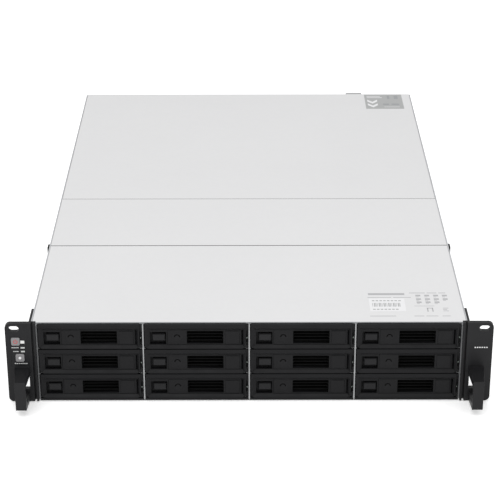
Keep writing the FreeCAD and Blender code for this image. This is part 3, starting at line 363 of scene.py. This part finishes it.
def dress(node, *finishes, pick=None, base=(0, 0, 0), radius=0):
    """Give a CAD node its materials. pick(x, y, z) numbers the material of a face from its centre."""
    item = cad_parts[node]
    item.data.materials.clear()
    for finish in finishes:
        item.data.materials.append(finish)
    if pick:
        start = FRONT + Vector(base) * MM
        for face in item.data.polygons:
            face.material_index = pick(*((face.center - start) / MM))
    if radius:
        polish(item, radius)


def bay_x(column):
    """The centre line of a column of bays."""
    return (column - (COLUMNS + 1) / 2) * BAY_PITCH


def bay_z(row):
    """The foot of a row of bays."""
    return ROW_BASE + (row - 1) * ROW_PITCH


# Limits of the parts of a node, in millimetres: those of a tray or lever from its bay's base point,
# those of a supply's height from its own foot, and the others from the middle of the ears' face.
NEAR = 0.1
LID_REAR = span("front_cover")[1].y - NEAR
FOLD_REAR = 4.3
FOLD_FOOT = TOP - 0.2
TAB_FRONT = 660.2
CAGE_FRONT = 3.6
CAGE_SIDE = COLUMNS / 2 * BAY_PITCH - 2
GUIDE_X = 50.3
GUIDE_HIGH = 12.4
GUIDE_LOW = 6.4
GUIDE_RADIUS = 0.75
GUIDE_REAR = 5
DRIVE_FRONT = 17
DRIVE_HALF = 50.82
LEVER_FRONT = 2.45
LOCK_X = -18.9
LOCK_Z = 12.4
LOCK_RADIUS = 4.3
LOCK_REAR = 6
SLOT_RADIUS = 3.2
SLATS = ((-11.5, 24), (5.2, 7.3), (4.9, 19.6))
LENSES = ((-226.7, -222.5), (0.05, 0.38), (55, 70))
LIGHT_BAR_LOW = 65
PORTS_FRONT = 624.9
BOARD_REAR = 650
MEMORY_LEFT = -151
MEMORY_RIGHT = -118
BACKPLANE_FRONT = 170.9
LOOP_LEFT = 164
INLET = ((135.5, 162.7), (644.3, SUPPLY_REAR + 2), (7.5, 25.7))
GRILLE_X = 184.6
GRILLE_Z = 22.9
GRILLE_RADIUS = 17.1
GRILLE_FRONT = 654.3
GRILLE_REAR = 658.4
FAN_FRONT = 221.95


def within(ranges, *point):
    """Whether each coordinate of a point is inside its range."""
    return all(low < value < high for (low, high), value in zip(ranges, point))


def front_lid_part(x, y, z):
    """The painted lid, or painted shade on its edge at the fan door and on the front fold's foot."""
    if y > LID_REAR:
        return 1
    return 2 if y < FOLD_REAR and z < FOLD_FOOT else 0


def lid_part(x, y, z):
    """A painted lid, or painted shade on its edge at the lid before it and on the pull tab."""
    if y < DOOR_FRONT + NEAR or abs(y - COVER_FRONT) < NEAR:
        return 1
    return 2 if y > TAB_FRONT else 0


def cage_part(x, y, z):
    """The sheet of the cage, or painted shade on its front edges, darkest beside the ears."""
    if y > CAGE_FRONT + NEAR:
        return 0
    return 2 if abs(x) > CAGE_SIDE else 1


def tray_part(x, y, z):
    """Bezel, rails, drive, lit light guide, dark light guide, or painted shade on the drive's front.
    """
    for index, height in ((2, GUIDE_HIGH), (3, GUIDE_LOW)):
        if math.hypot(x - GUIDE_X, z - height) < GUIDE_RADIUS and y < GUIDE_REAR:
            return index
    if y < DRIVE_FRONT - NEAR or abs(x) > DRIVE_HALF:
        return 0
    # The drive's front face is painted near-black as the shade behind the vent.
    return 4 if y < DRIVE_FRONT + NEAR / 2 else 1


def lever_part(x, y, z):
    """The lever, its lock barrel, or painted shade on the slats and in the key slot."""
    if within(SLATS, x, y, z):
        return 2
    reach = math.hypot(x - LOCK_X, z - LOCK_Z)
    if reach > LOCK_RADIUS or y > LOCK_REAR:
        return 0
    return 2 if reach < SLOT_RADIUS and y > LEVER_FRONT else 1


def ear_part(x, y, z):
    """The ear's moulding, the light bar or a status window."""
    if not within(LENSES, x, y, z):
        return 0
    return 1 if z > LIGHT_BAR_LOW else 2


def board_part(x, y, z):
    """The board itself, steel port shells and slot blanks, or black plastic parts."""
    above = z > BOARD_TOP + 0.01
    if y > PORTS_FRONT and (above or y > BOARD_REAR):
        return 1
    return 2 if above and not MEMORY_LEFT < x < MEMORY_RIGHT else 0


def backplane_part(x, y, z):
    """The board or a drive socket."""
    return 1 if y < BACKPLANE_FRONT else 0


def supply_part(x, y, z):
    """A supply's case, its dark mains inlet, painted shade in the exhaust grille, or its pull loop."""
    height = z if z < SUPPLY_PITCH + 3 else z - SUPPLY_PITCH
    if y > SUPPLY_REAR + NEAR / 2 and x > LOOP_LEFT:
        return 2
    if within(INLET, x, y, height):
        return 1
    # The inside of the exhaust grille is painted near-black as shade.
    exhaust = math.hypot(x - GRILLE_X, height - GRILLE_Z) < GRILLE_RADIUS
    return 1 if exhaust and GRILLE_FRONT < y < GRILLE_REAR else 0


def fan_part(x, y, z):
    """The cross wall or a fan housing."""
    return 0 if y < FAN_FRONT else 1


def dress_bay(row, column):
    """Materials of a tray, its lever and its button."""
    spot = f"r{row}c{column}"
    base = (bay_x(column), 0, bay_z(row))
    parts = (TRAY, DRIVE_CASE, GUIDE, GUIDE_DARK, SOCKET_AND_SHADE)
    dress(f"tray_{spot}", *parts, pick=tray_part, base=base, radius=0.22)
    dress(f"tray_lever_{spot}", LEVER, LOCK, SOCKET_AND_SHADE, pick=lever_part, base=base)
    dress(f"tray_button_{spot}", KEY, radius=0.2)


def dress_nodes():
    """Give every CAD node its materials."""
    dress("front_cover", LID, SOCKET_AND_SHADE, DARK_LABEL_AND_SHADE, pick=front_lid_part, radius=0.3)
    dress("fan_door", LID, SOCKET_AND_SHADE, GREY_LABEL_AND_SHADE, pick=lid_part, radius=0.3)
    dress("rear_cover", LID, SOCKET_AND_SHADE, GREY_LABEL_AND_SHADE, pick=lid_part, radius=0.3)
    dress("chassis_base", ZINC)
    dress("rear_panel", ZINC)
    dress("drive_cage", ZINC, CAGE_EDGE_SHADE, CAGE_SHADE, pick=cage_part)
    for row in range(1, ROWS + 1):
        for column in range(1, COLUMNS + 1):
            dress_bay(row, column)
    dress("left_ear", EAR, LIGHT_BAR, WINDOW, pick=ear_part, radius=0.15)
    dress("right_ear", EAR, radius=0.3)
    for side in ("left", "right"):
        dress(f"cover_latch_{side}", LATCH)
    for key in ("power", "select"):
        dress(f"{key}_button", PANEL_KEY)
    dress("fan_frames", ZINC, FAN, pick=fan_part, radius=0.3)
    for number in range(1, COLUMNS + 1):
        dress(f"fan_rotor_{number}", FAN, radius=0.4)
    dress("main_board", BOARD, STEEL, SOCKET_AND_SHADE, pick=board_part)
    dress("backplane", BOARD, SOCKET_AND_SHADE, pick=backplane_part)
    dress("cpu_heatsink", ALUMINIUM)
    for level in ("lower", "upper"):
        dress(f"psu_{level}", PSU, SOCKET_AND_SHADE, LATCH, pick=supply_part, radius=0.25)
        dress(f"psu_latch_{level}", THUMB, radius=0.4)


# ---------------------------------------------------------------- building new pieces


# Straight sides of a plate's corner, a slot's end, a turned shape, a cable and each part of its path.
CORNER_STEPS = 4
END_STEPS = 10
LATHE_SIDES = 20
TUBE_SIDES = 12
TUBE_STEPS = 6
CREASE = 35


class Piece:
    """A new mesh drawn in millimetres from the ears' front face, which rides on a body."""

    def __init__(self, name, body, slot, *finishes):
        """An empty mesh; index is the number of the finish that the next faces get."""
        self.name, self.body, self.slot, self.finishes = name, body, slot, finishes
        self.mesh = bmesh.new()
        self.index = 0

    def spot(self, x, y, z):
        """A point in metres from X, depth behind the ears' face and height."""
        return FRONT + Vector((x, y, z)) * MM

    def face(self, points, flip=False):
        """One face through points."""
        made = self.mesh.faces.new(list(reversed(points)) if flip else points)
        made.material_index = self.index

    def prism(self, outline, lift):
        """A solid from an outline of points and the vector to its far side."""
        near = [self.mesh.verts.new(self.spot(*p)) for p in outline]
        far = [self.mesh.verts.new(v.co + Vector(lift) * MM) for v in near]
        self.face(near, flip=True)
        self.face(far)
        self.skin([near, far])

    def block(self, low, high):
        """A box between two corners."""
        (x, y, z), (right, back, top) = low, high
        outline = [(x, y, z), (right, y, z), (right, back, z), (x, back, z)]
        self.prism(outline, (0, 0, top - z))

    def disc(self, centre, radius, axis, depth, sides=24):
        """A round plate; axis is x, y or z."""
        turn = [2 * math.pi * i / sides for i in range(sides)]
        x, y, z = centre
        outline = {
            "z": [(x + radius * math.cos(a), y + radius * math.sin(a), z) for a in turn],
            "y": [(x + radius * math.cos(a), y, z - radius * math.sin(a)) for a in turn],
            "x": [(x, y + radius * math.cos(a), z + radius * math.sin(a)) for a in turn],
        }[axis]
        lift = {"x": (depth, 0, 0), "y": (0, depth, 0), "z": (0, 0, depth)}[axis]
        self.prism(outline, lift)

    def plate(self, low, high, base, thick, radius):
        """A level plate with rounded corners."""
        (left, front), (right, rear) = low, high
        centres = (
            (right - radius, rear - radius, 0), (left + radius, rear - radius, 90),
            (left + radius, front + radius, 180), (right - radius, front + radius, 270),
        )
        outline = []
        for x, y, start in centres:
            for step in range(CORNER_STEPS + 1):
                turn = math.radians(start + 90 / CORNER_STEPS * step)
                outline.append((x + radius * math.cos(turn), y + radius * math.sin(turn), base))
        self.prism(outline, (0, 0, thick))

    def oblong(self, centre, width, height, depth):
        """An upright slot with round ends that faces the back."""
        x, y, z = centre
        radius = width / 2
        reach = height / 2 - radius
        turns = [math.pi * step / END_STEPS for step in range(END_STEPS + 1)]
        outline = [(x + radius * math.cos(a), y, z + reach + radius * math.sin(a)) for a in turns]
        outline += [(x - radius * math.cos(a), y, z - reach - radius * math.sin(a)) for a in turns]
        self.prism(outline, (0, depth, 0))

    def lathe(self, centre, axis, profile):
        """A turned shape: profile holds (radius, distance along the axis)."""
        x, y, z = centre
        turn = [2 * math.pi * i / LATHE_SIDES for i in range(LATHE_SIDES)]
        rings = []
        for radius, step in profile:
            spots = [(radius * math.cos(a), radius * math.sin(a)) for a in turn]
            rings.append([self.mesh.verts.new({
                "x": self.spot(x + step, y + u, z + v),
                "y": self.spot(x + u, y + step, z + v),
                "z": self.spot(x + u, y + v, z + step),
            }[axis]) for u, v in spots])
        self.face(rings[0], flip=True)
        self.face(rings[-1])
        self.skin(rings)

    def skin(self, rings):
        """Side faces between rings of points."""
        for near, far in zip(rings, rings[1:]):
            for i, point in enumerate(near):
                j = (i + 1) % len(near)
                self.face([point, near[j], far[j], far[i]])

    def tube(self, path, radius):
        """A round cable through points, smoothed between them."""
        points = [self.spot(*p) for p in path]
        ends = [points[0] * 2 - points[1]] + points + [points[-1] * 2 - points[-2]]
        line = []
        for a, b, c, d in zip(ends, ends[1:], ends[2:], ends[3:]):
            for step in range(TUBE_STEPS):
                t = step / TUBE_STEPS
                line.append(0.5 * (2 * b + (c - a) * t + (2 * a - 5 * b + 4 * c - d) * t * t
                                   + (3 * b - a - 3 * c + d) * t ** 3))
        line.append(points[-1])
        turn = [2 * math.pi * i / TUBE_SIDES for i in range(TUBE_SIDES)]
        rings = []
        side = Vector((1, 0, 0))
        for i, point in enumerate(line):
            way = (line[min(i + 1, len(line) - 1)] - line[max(i - 1, 0)]).normalized()
            side = (side - way * side.dot(way)).normalized()
            up = way.cross(side)
            rings.append([
                self.mesh.verts.new(point + (side * math.cos(a) + up * math.sin(a)) * radius * MM)
                for a in turn
            ])
        self.face(rings[0], flip=True)
        self.face(rings[-1])
        self.skin(rings)

    def done(self, bevel=0.0, smooth=False):
        """Make the object and let it ride on its body."""
        bmesh.ops.recalc_face_normals(self.mesh, faces=self.mesh.faces)
        data = bpy.data.meshes.new(self.name)
        self.mesh.to_mesh(data)
        self.mesh.free()
        item = bpy.data.objects.new(self.name, data)
        bpy.context.scene.collection.objects.link(item)
        for finish in self.finishes:
            data.materials.append(finish)
        if bevel:
            edge = item.modifiers.new("bevel", "BEVEL")
            edge.width = bevel * MM
            edge.segments = 2
            edge.limit_method = "ANGLE"
        if smooth:
            data.polygons.foreach_set("use_smooth", [True] * len(data.polygons))
            data.set_sharp_from_angle(angle=math.radians(CREASE))
        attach(item, self.body)


# ---------------------------------------------------------------- prints and labels

INK = 0.04
SHEET = 0.12


def flat_bars(art, z, bars, thick=INK):
    """Bars on a level face, each (left, front, width, depth)."""
    for x, y, width, depth in bars:
        art.block((x, y, z - INK), (x + width, y + depth, z + thick))


def front_print():
    """Plain bars and blocks on the front lid, in place of all lettering and marks."""
    heading = [(121, 62, 37, 4.2), (120, 56, 24, 1.1), (146, 56, 18, 1.1)]
    line = [(163, 66, 16, 1.2), (181, 66, 10, 1.2), (193, 66, 7, 1.2)]
    foot = [(120, 15, 26, 1.1), (164, 15, 10, 1.1), (176, 15, 12, 1.1), (192, 15, 8, 1.1)]
    bin_sign = [(166, 37, 20, 0.8), (178, 25, 1.2, 8), (183, 25, 1.2, 8), (178, 32, 6, 1.2)]
    note = [(194, 26, 5.5, 1.1), (194, 29, 4, 1.1), (194, 32, 5.5, 1.1)]
    signs = []
    for row, y in enumerate((59, 51, 44)):
        for column in range(4 - row // 2):
            x = 169 + 9 * column
            signs += [(x, y, 5, 3.4), (x, y - 2, 3, 0.9)]
    art = Piece("front_lid_print", "root", "lid_paint", PRINT)
    flat_bars(art, TOP, heading + line + signs + foot + bin_sign + note)
    art.done()


def front_sticker():
    """A white label with two rows of blocks and a row of upright bars."""
    art = Piece("front_lid_sticker", "root", "lid_paint", STICKER, GREY_LABEL_AND_SHADE)
    flat_bars(art, TOP, [(121, 26, 36, 28)], SHEET)
    art.index = 1
    left = 124
    for y, count in ((48, 8), (29, 7)):
        flat_bars(art, TOP + SHEET, [(left + 3.8 * i, y, 2.6, 2) for i in range(count)])
    code = [(left + 1.6 * i, 36, 0.5 + 0.3 * (i * 5 % 3), 8) for i in range(18)]
    flat_bars(art, TOP + SHEET, code)
    art.done()


def rear_label():
    """A grey label with two white chevrons that point to the front."""
    art = Piece("rear_lid_label", "rear_cover", "lid_paint", GREY_LABEL_AND_SHADE, STICKER, DARK_LABEL_AND_SHADE)
    flat_bars(art, TOP, [(154, 604, 49.5, 53.5)], SHEET)
    high = TOP + SHEET
    art.index = 1
    left, right = 157, 170
    centre = (left + right) / 2
    for tip in (623, 609):
        front = [(left, tip + 8), (centre, tip), (right, tip + 8)]
        rear = [(right, tip + 15), (centre, tip + 7), (left, tip + 15)]
        art.prism([(x, y, high) for x, y in front + rear], (0, 0, INK))
    flat_bars(art, high, [(157, 650, 18, 1.8), (157, 645, 20, 1.8), (178, 610, 20, 1.2)])
    art.index = 2
    flat_bars(art, high, [(184, 641, 3, 12), (193, 641, 5, 12), (177, 618, 8, 5), (188, 618, 10, 5)])
    art.done()


def ring(piece, centre, inner, outer, start, sweep, depth):
    """Part of a flat ring that faces forwards; angles in degrees from straight up."""
    x, y, z = centre
    steps = max(3, int(sweep / 15))
    angles = [math.radians(start + sweep * i / steps) for i in range(steps + 1)]
    for a, b in zip(angles, angles[1:]):
        corners = ((inner, a), (outer, a), (outer, b), (inner, b))
        piece.prism([(x + r * math.sin(t), y, z + r * math.cos(t)) for r, t in corners], (0, depth, 0))


def key_marks():
    """A power sign on one key and a dot on the other."""
    x, _, z = middle("power_button")
    face = span("power_button")[0].y
    sign = Piece("power_sign", "power_button", "key_plastic", MARK_RED)
    ring(sign, (x, face, z), 1.5, 2.2, 40, 280, -INK)
    sign.block((x - 0.35, face - INK, z + 0.4), (x + 0.35, face, z + 2.7))
    sign.done()
    x, _, z = middle("select_button")
    dot = Piece("select_sign", "select_button", "key_plastic", STICKER)
    dot.disc((x, face, z), 1.4, "y", -INK)
    dot.done()


def ear_marks():
    """Rows of plain ticks on both ears, in place of lettering."""
    ticks = Piece("panel_ticks", "root", "ear_plastic", MARK_WHITE)
    panel, face = 0.4, 0
    for x, y, z, count, pitch, width, half in (
        (-235.6, panel, 61.2, 4, 1.9, 1.2, 0.45),
        (-234, panel, 57, 3, 1.9, 1.2, 0.45),
        (-233.4, panel, 43.4, 7, 1.9, 1.2, 0.45),
        (223.4, face, 60.9, 6, 2.3, 1.4, 0.6),
    ):
        for number in range(count):
            left = x + pitch * number
            ticks.block((left, y - INK, z - half), (left + width, y, z + half))
    ticks.done()


# ---------------------------------------------------------------- front


def front_foot_strip():
    """A black strip along the foot of the bays."""
    sill = Piece("front_foot_strip", "root", "tray_plastic", TRAY)
    length = BAY_PITCH - 0.4
    for column in range(1, COLUMNS + 1):
        left = bay_x(column) - length / 2
        sill.block((left, 1.6, 0.4), (left + length, 3.4, 3.2))
    sill.done(bevel=0.3)


def drive_lid(spot, x, top):
    """The bright stamped lid of a drive, with six screws and a dark seal."""
    lid = Piece(f"drive_lid_{spot}", f"tray_{spot}", "tray_plastic", DRIVE_LID, DARK_LABEL_AND_SHADE)
    lid.plate((x - 44, 22), (x + 44, 158), top, 0.12, 8)
    for side in (-39.5, 39.5):
        for depth in (30, 90, 150):
            lid.disc((x + side, depth, top), 2, "z", 0.2, sides=16)
    lid.index = 1
    lid.disc((x, 62, top), 9, "z", 0.17, sides=32)
    lid.done()


def drive_label(spot, x, top):
    """The white label of a drive, with plain bars."""
    label = Piece(f"drive_label_{spot}", f"tray_{spot}", "tray_plastic", STICKER, DARK_LABEL_AND_SHADE)
    label.plate((x - 34, 78), (x + 34, 148), top + 0.1, 0.08, 2)
    label.index = 1
    left = x - 30
    lines = [(left, 140 - 6 * i, 44 - 7 * (i % 3), 1.6) for i in range(6)]
    code = [(left + 1.5 * i, 84, 0.5 + 0.25 * (i * 7 % 3), 14) for i in range(26)]
    flat_bars(label, top + 0.18, lines + code, 0.02)
    label.done()


def drive_lids():
    """A lid and a label on each drive."""
    for row in range(1, ROWS + 1):
        for column in range(1, COLUMNS + 1):
            spot = f"r{row}c{column}"
            x, top = bay_x(column), bay_z(row) + DRIVE_TOP
            drive_lid(spot, x, top)
            drive_label(spot, x, top)


# ---------------------------------------------------------------- back


def screw(piece, centre, axis, radius=2.6, way=1):
    """A pan-head screw with a cross slot of painted shade, its head towards way along the axis."""
    piece.index = 0
    profile = [(radius, 0), (radius, 0.7), (radius * 0.8, 1.25), (radius * 0.45, 1.5)]
    piece.lathe(centre, axis, [(r, way * step) for r, step in profile])
    # The cross slot is drawn as dark bars: painted shade, not a cut recess.
    piece.index = 1
    x, y, z = centre
    long, short, top = radius * 0.55, radius * 0.14, 1.53 * way
    for wide, tall in ((long, short), (short, long)):
        if axis == "y":
            piece.block((x - wide, y, z - tall), (x + wide, y + top, z + tall))
        else:
            piece.block((x, y - wide, z - tall), (x + top, y + wide, z + tall))


def case_screws():
    """Screws in the back wall and the sides."""
    back = Piece("back_screws", "root", "zinc_steel", STEEL, SOCKET_AND_SHADE)
    for x, z in ((-209, 80), (-209, 8), (-52, 8), (-52, 34), (122, 80), (122, 8), (-120, 80)):
        screw(back, (x, REAR, z), "y")
    for slot in range(SLOTS):
        screw(back, (104, REAR, 18.5 + SLOT_PITCH * slot), "y", radius=2.2)
    back.done(smooth=True)
    for side, name in ((-1, "left"), (1, "right")):
        row = Piece(f"{name}_side_screws", "root", "zinc_steel", STEEL, SOCKET_AND_SHADE)
        for z, depths in ((9, (60, 150, 340, 470, 600)), (72, (80, 330, 480, 630))):
            for y in depths:
                screw(row, (side * SIDE, y, z), "x", radius=2.2, way=side * 0.6)
        row.done(smooth=True)


PORT_FRONT = 653.9
PORT_REAR = 657
PORT_LOW = 9.4
PORT_WALL = 0.7


def port(piece, left, low, width, height):
    """An open socket in a steel shell with a dark room and gold contacts."""
    right, top = left + width, low + height
    piece.index = 0
    for start, end in (
        ((left, low), (right, low + PORT_WALL)),
        ((left, top - PORT_WALL), (right, top)),
        ((left, low), (left + PORT_WALL, top)),
        ((right - PORT_WALL, low), (right, top)),
    ):
        piece.block((start[0], PORT_FRONT, start[1]), (end[0], PORT_REAR, end[1]))
    piece.index = 1
    room = PORT_FRONT + 0.3
    piece.block(
        (left + PORT_WALL, PORT_FRONT, low + PORT_WALL), (right - PORT_WALL, room, top - PORT_WALL)
    )
    piece.index = 2
    count = max(3, int((width - 4) / 1.3))
    ceiling = top - PORT_WALL
    for number in range(count):
        x = left + 2 + number * (width - 4.5) / (count - 1)
        piece.block((x, room, ceiling - 1.6), (x + 0.5, room + 1.5, ceiling - 0.8))


def back_ports():
    """Network and USB sockets in their shield plate, network lamps and two holes of painted shade."""
    art = Piece("rear_ports", "root", "zinc_steel", STEEL, SOCKET_AND_SHADE, GOLD, GUIDE)
    for number in range(4):
        left = -184 + 17 * number
        port(art, left, PORT_LOW, 16, 12.6)
        art.index = 3
        for side in (1.2, 12.4):
            art.block((left + side, 656.4, 20.2), (left + side + 2.4, 656.9, 21.2))
    for number in range(2):
        port(art, -107 + 16 * number, PORT_LOW, 13.4, 6.6)
    port(art, -107, 17, 29, 6)
    art.index = 0
    for (left, low), (right, high) in (
        ((-187.6, 22.4), (-60.4, 27.9)),
        ((-75.4, 10.6), (-60.4, 22.4)),
        ((-116, 10.6), (-107.6, 22.4)),
    ):
        art.block((left, 655.2, low), (right, 656.2, high))
    # The two small holes are dark discs: painted shade, not cut holes.
    art.index = 1
    for x in (-68, -112):
        art.disc((x, 656.2, 16), 0.9, "y", 0.1)
    art.done()


def slot_blanks():
    """An end plate and a row of air slots in painted shade on each of the four card slot blanks."""
    art = Piece("slot_covers", "root", "zinc_steel", STEEL, SOCKET_AND_SHADE)
    face = 657.4
    for slot in range(SLOTS):
        low = 12.4 + SLOT_PITCH * slot
        art.index = 0
        art.block((88, face, low + 0.8), (97.4, face + 0.8, low + 11.4))
        # The air slots are dark oblongs: painted shade, not cut holes.
        art.index = 1
        for number in range(11):
            art.oblong((8 + 7 * number, face, low + 6.1), 5, 6.4, 0.08)
    art.done()


def supply_details():
    """On each supply: rims above and below the mains inlet, a status lamp and contacts."""
    for number, level in enumerate(("lower", "upper")):
        body = f"psu_{level}"
        lift = SUPPLY_PITCH * number
        art = Piece(f"{body}_details", body, "psu_steel", LATCH, GUIDE, GOLD)
        for low in (25.6, 6.6):
            z = low + lift
            art.block((134.6, SUPPLY_REAR, z), (163.6, SUPPLY_REAR + 1.6, z + 1))
        art.index = 1
        art.disc((158, SUPPLY_REAR, 35 + lift), 1.5, "y", 0.5)
        art.index = 2
        for pin in range(3):
            x = 140.7 + 6.5 * pin
            art.block((x, 650, 16.6 + lift), (x + 1.8, 656.4, 20.4 + lift))
        art.done()


# ---------------------------------------------------------------- inside

FAN_HEIGHT = 43.5
CABLE = ((30, 258, 83.6), (32, 266, 83), (30, 276, 70), (24, 300, 34), (22, 318, 16), (20, 333, 12))


def fan_trim(number):
    """On a fan: rubber pins in the corners, a cable to the board and a label on the motor."""
    x, z = bay_x(number), FAN_HEIGHT
    rear, wall = 260, 220.8
    art = Piece(f"fan_trim_{number}", "root", "fan_plastic", RUBBER, GREY_LABEL_AND_SHADE, STICKER)
    for side in (-36, 36):
        for lift in (-36, 36):
            art.lathe((x + side, rear, z + lift), "y", [(2.6, 0), (2.2, 1.6), (1.2, 2.6)])
            art.lathe((x + side, wall, z + lift), "y", [(3, 0), (2.6, -1.4), (1.2, -2)])
    art.tube([(x + step, depth, height) for step, depth, height in CABLE], 1.5)
    art.block((x + 14, 330, 9), (x + 26, 338, 16))
    art.index = 1
    art.disc((x, rear, z), 14, "y", 0.15, sides=40)
    art.index = 2
    ring(art, (x, rear + 0.15, z), 10.5, 12, 20, 320, 0.1)
    for step in range(3):
        low = 40 + 3 * step
        art.block((x - 6, rear + 0.1, low), (x + 6 - step, rear + 0.25, low + 1))
    art.done(smooth=True)


def fan_parts():
    """Trim on every fan."""
    for number in range(1, COLUMNS + 1):
        fan_trim(number)


CHIPS = (
    (-30, 345, 14, 14), (20, 520, 18, 18), (60, 600, 12, 9), (-190, 560, 16, 16),
    (-180, 500, 10, 12), (40, 440, 9, 9), (70, 470, 12, 12), (-100, 590, 20, 20),
)


def board_parts():
    """Small parts on the main board, and the chips of the memory."""
    z = BOARD_TOP
    art = Piece("board_parts", "root", "circuit_board", SOCKET_AND_SHADE, STEEL)
    for number in range(9):
        x = -80 + 9.5 * number
        art.index = 1
        art.lathe((x, 404, z), "z", [(3.6, 0), (3.6, 8), (3.2, 8.4), (2.8, 8.2)])
        art.index = 0
        art.block((x - 3.4, 412, z), (x + 3.4, 417, z + 4.5))
    for x, y, wide, long in CHIPS:
        art.block((x, y, z), (x + wide, y + long, z + 1.2))
    art.index = 1
    art.disc((90, 560, z), 10, "z", 3.2, sides=40)
    for x in (-196, 108):
        for y in (342, 488, 634):
            art.disc((x, y, z), 3.2, "z", 0.9, sides=20)
    art.index = 0
    for x in (14, 40):
        art.block((x, 540, z), (x + 6, 630, z + 9))
    for module in range(4):
        left = -150 + 9 * module
        for chip in range(8):
            y = 404 + 15.6 * chip
            art.block((left - 0.9, y, z + 12), (left, y + 11, z + 26))
    art.done(smooth=True)


# ---------------------------------------------------------------- stage


def floor():
    """A plain pale floor just under the unit."""
    bpy.ops.mesh.primitive_plane_add(size=60, location=(0, 0, CAD_BOX[0].z - 0.5 * MM))
    item = bpy.context.object
    item.name = "floor"
    finish = Finish("floor_white", (0.93, 0.93, 0.93), 0.7)
    finish.mottle(400, 0.01).lit((1, 1, 1), 0.35)
    item.data.materials.append(finish.material)


def softbox(name, location, target, size, power):
    """A square area light aimed at a point; places and size in metres."""
    light = bpy.data.lights.new(name, "AREA")
    light.energy = power
    light.size = size
    item = bpy.data.objects.new(name, light)
    bpy.context.scene.collection.objects.link(item)
    item.location = location
    item.rotation_euler = (Vector(target) - Vector(location)).to_track_quat("-Z", "Y").to_euler()


def sky(strength):
    """Even white light from all round."""
    world = bpy.data.worlds.new("studio")
    bpy.context.scene.world = world
    world.use_nodes = True
    background = world.node_tree.nodes["Background"]
    background.inputs["Color"].default_value = (1, 1, 1, 1)
    background.inputs["Strength"].default_value = strength


def camera():
    """The camera looks down at the front from above its middle."""
    data = bpy.data.cameras.new("camera")
    data.lens = 122.6
    data.clip_end = 20
    item = bpy.data.objects.new("camera", data)
    bpy.context.scene.collection.objects.link(item)
    item.location = FRONT + Vector((-1.75, -1486.8, 865.5)) * MM
    item.rotation_euler = (math.pi / 2 - 0.43866, 0.00084, -0.00212)
    bpy.context.scene.camera = item


dress_nodes()
front_print()
front_sticker()
rear_label()
key_marks()
ear_marks()
front_foot_strip()
drive_lids()
case_screws()
back_ports()
slot_blanks()
supply_details()
fan_parts()
board_parts()
floor()
sky(0.85)
softbox("key", (-0.4, -1.2, 2.3), (0, 0, 0), 1.6, 20)
softbox("fill", (1.4, -1.6, 1.4), (0, -0.3, 0), 1.2, 6)
camera()
bpy.context.scene.view_settings.view_transform = "Standard"
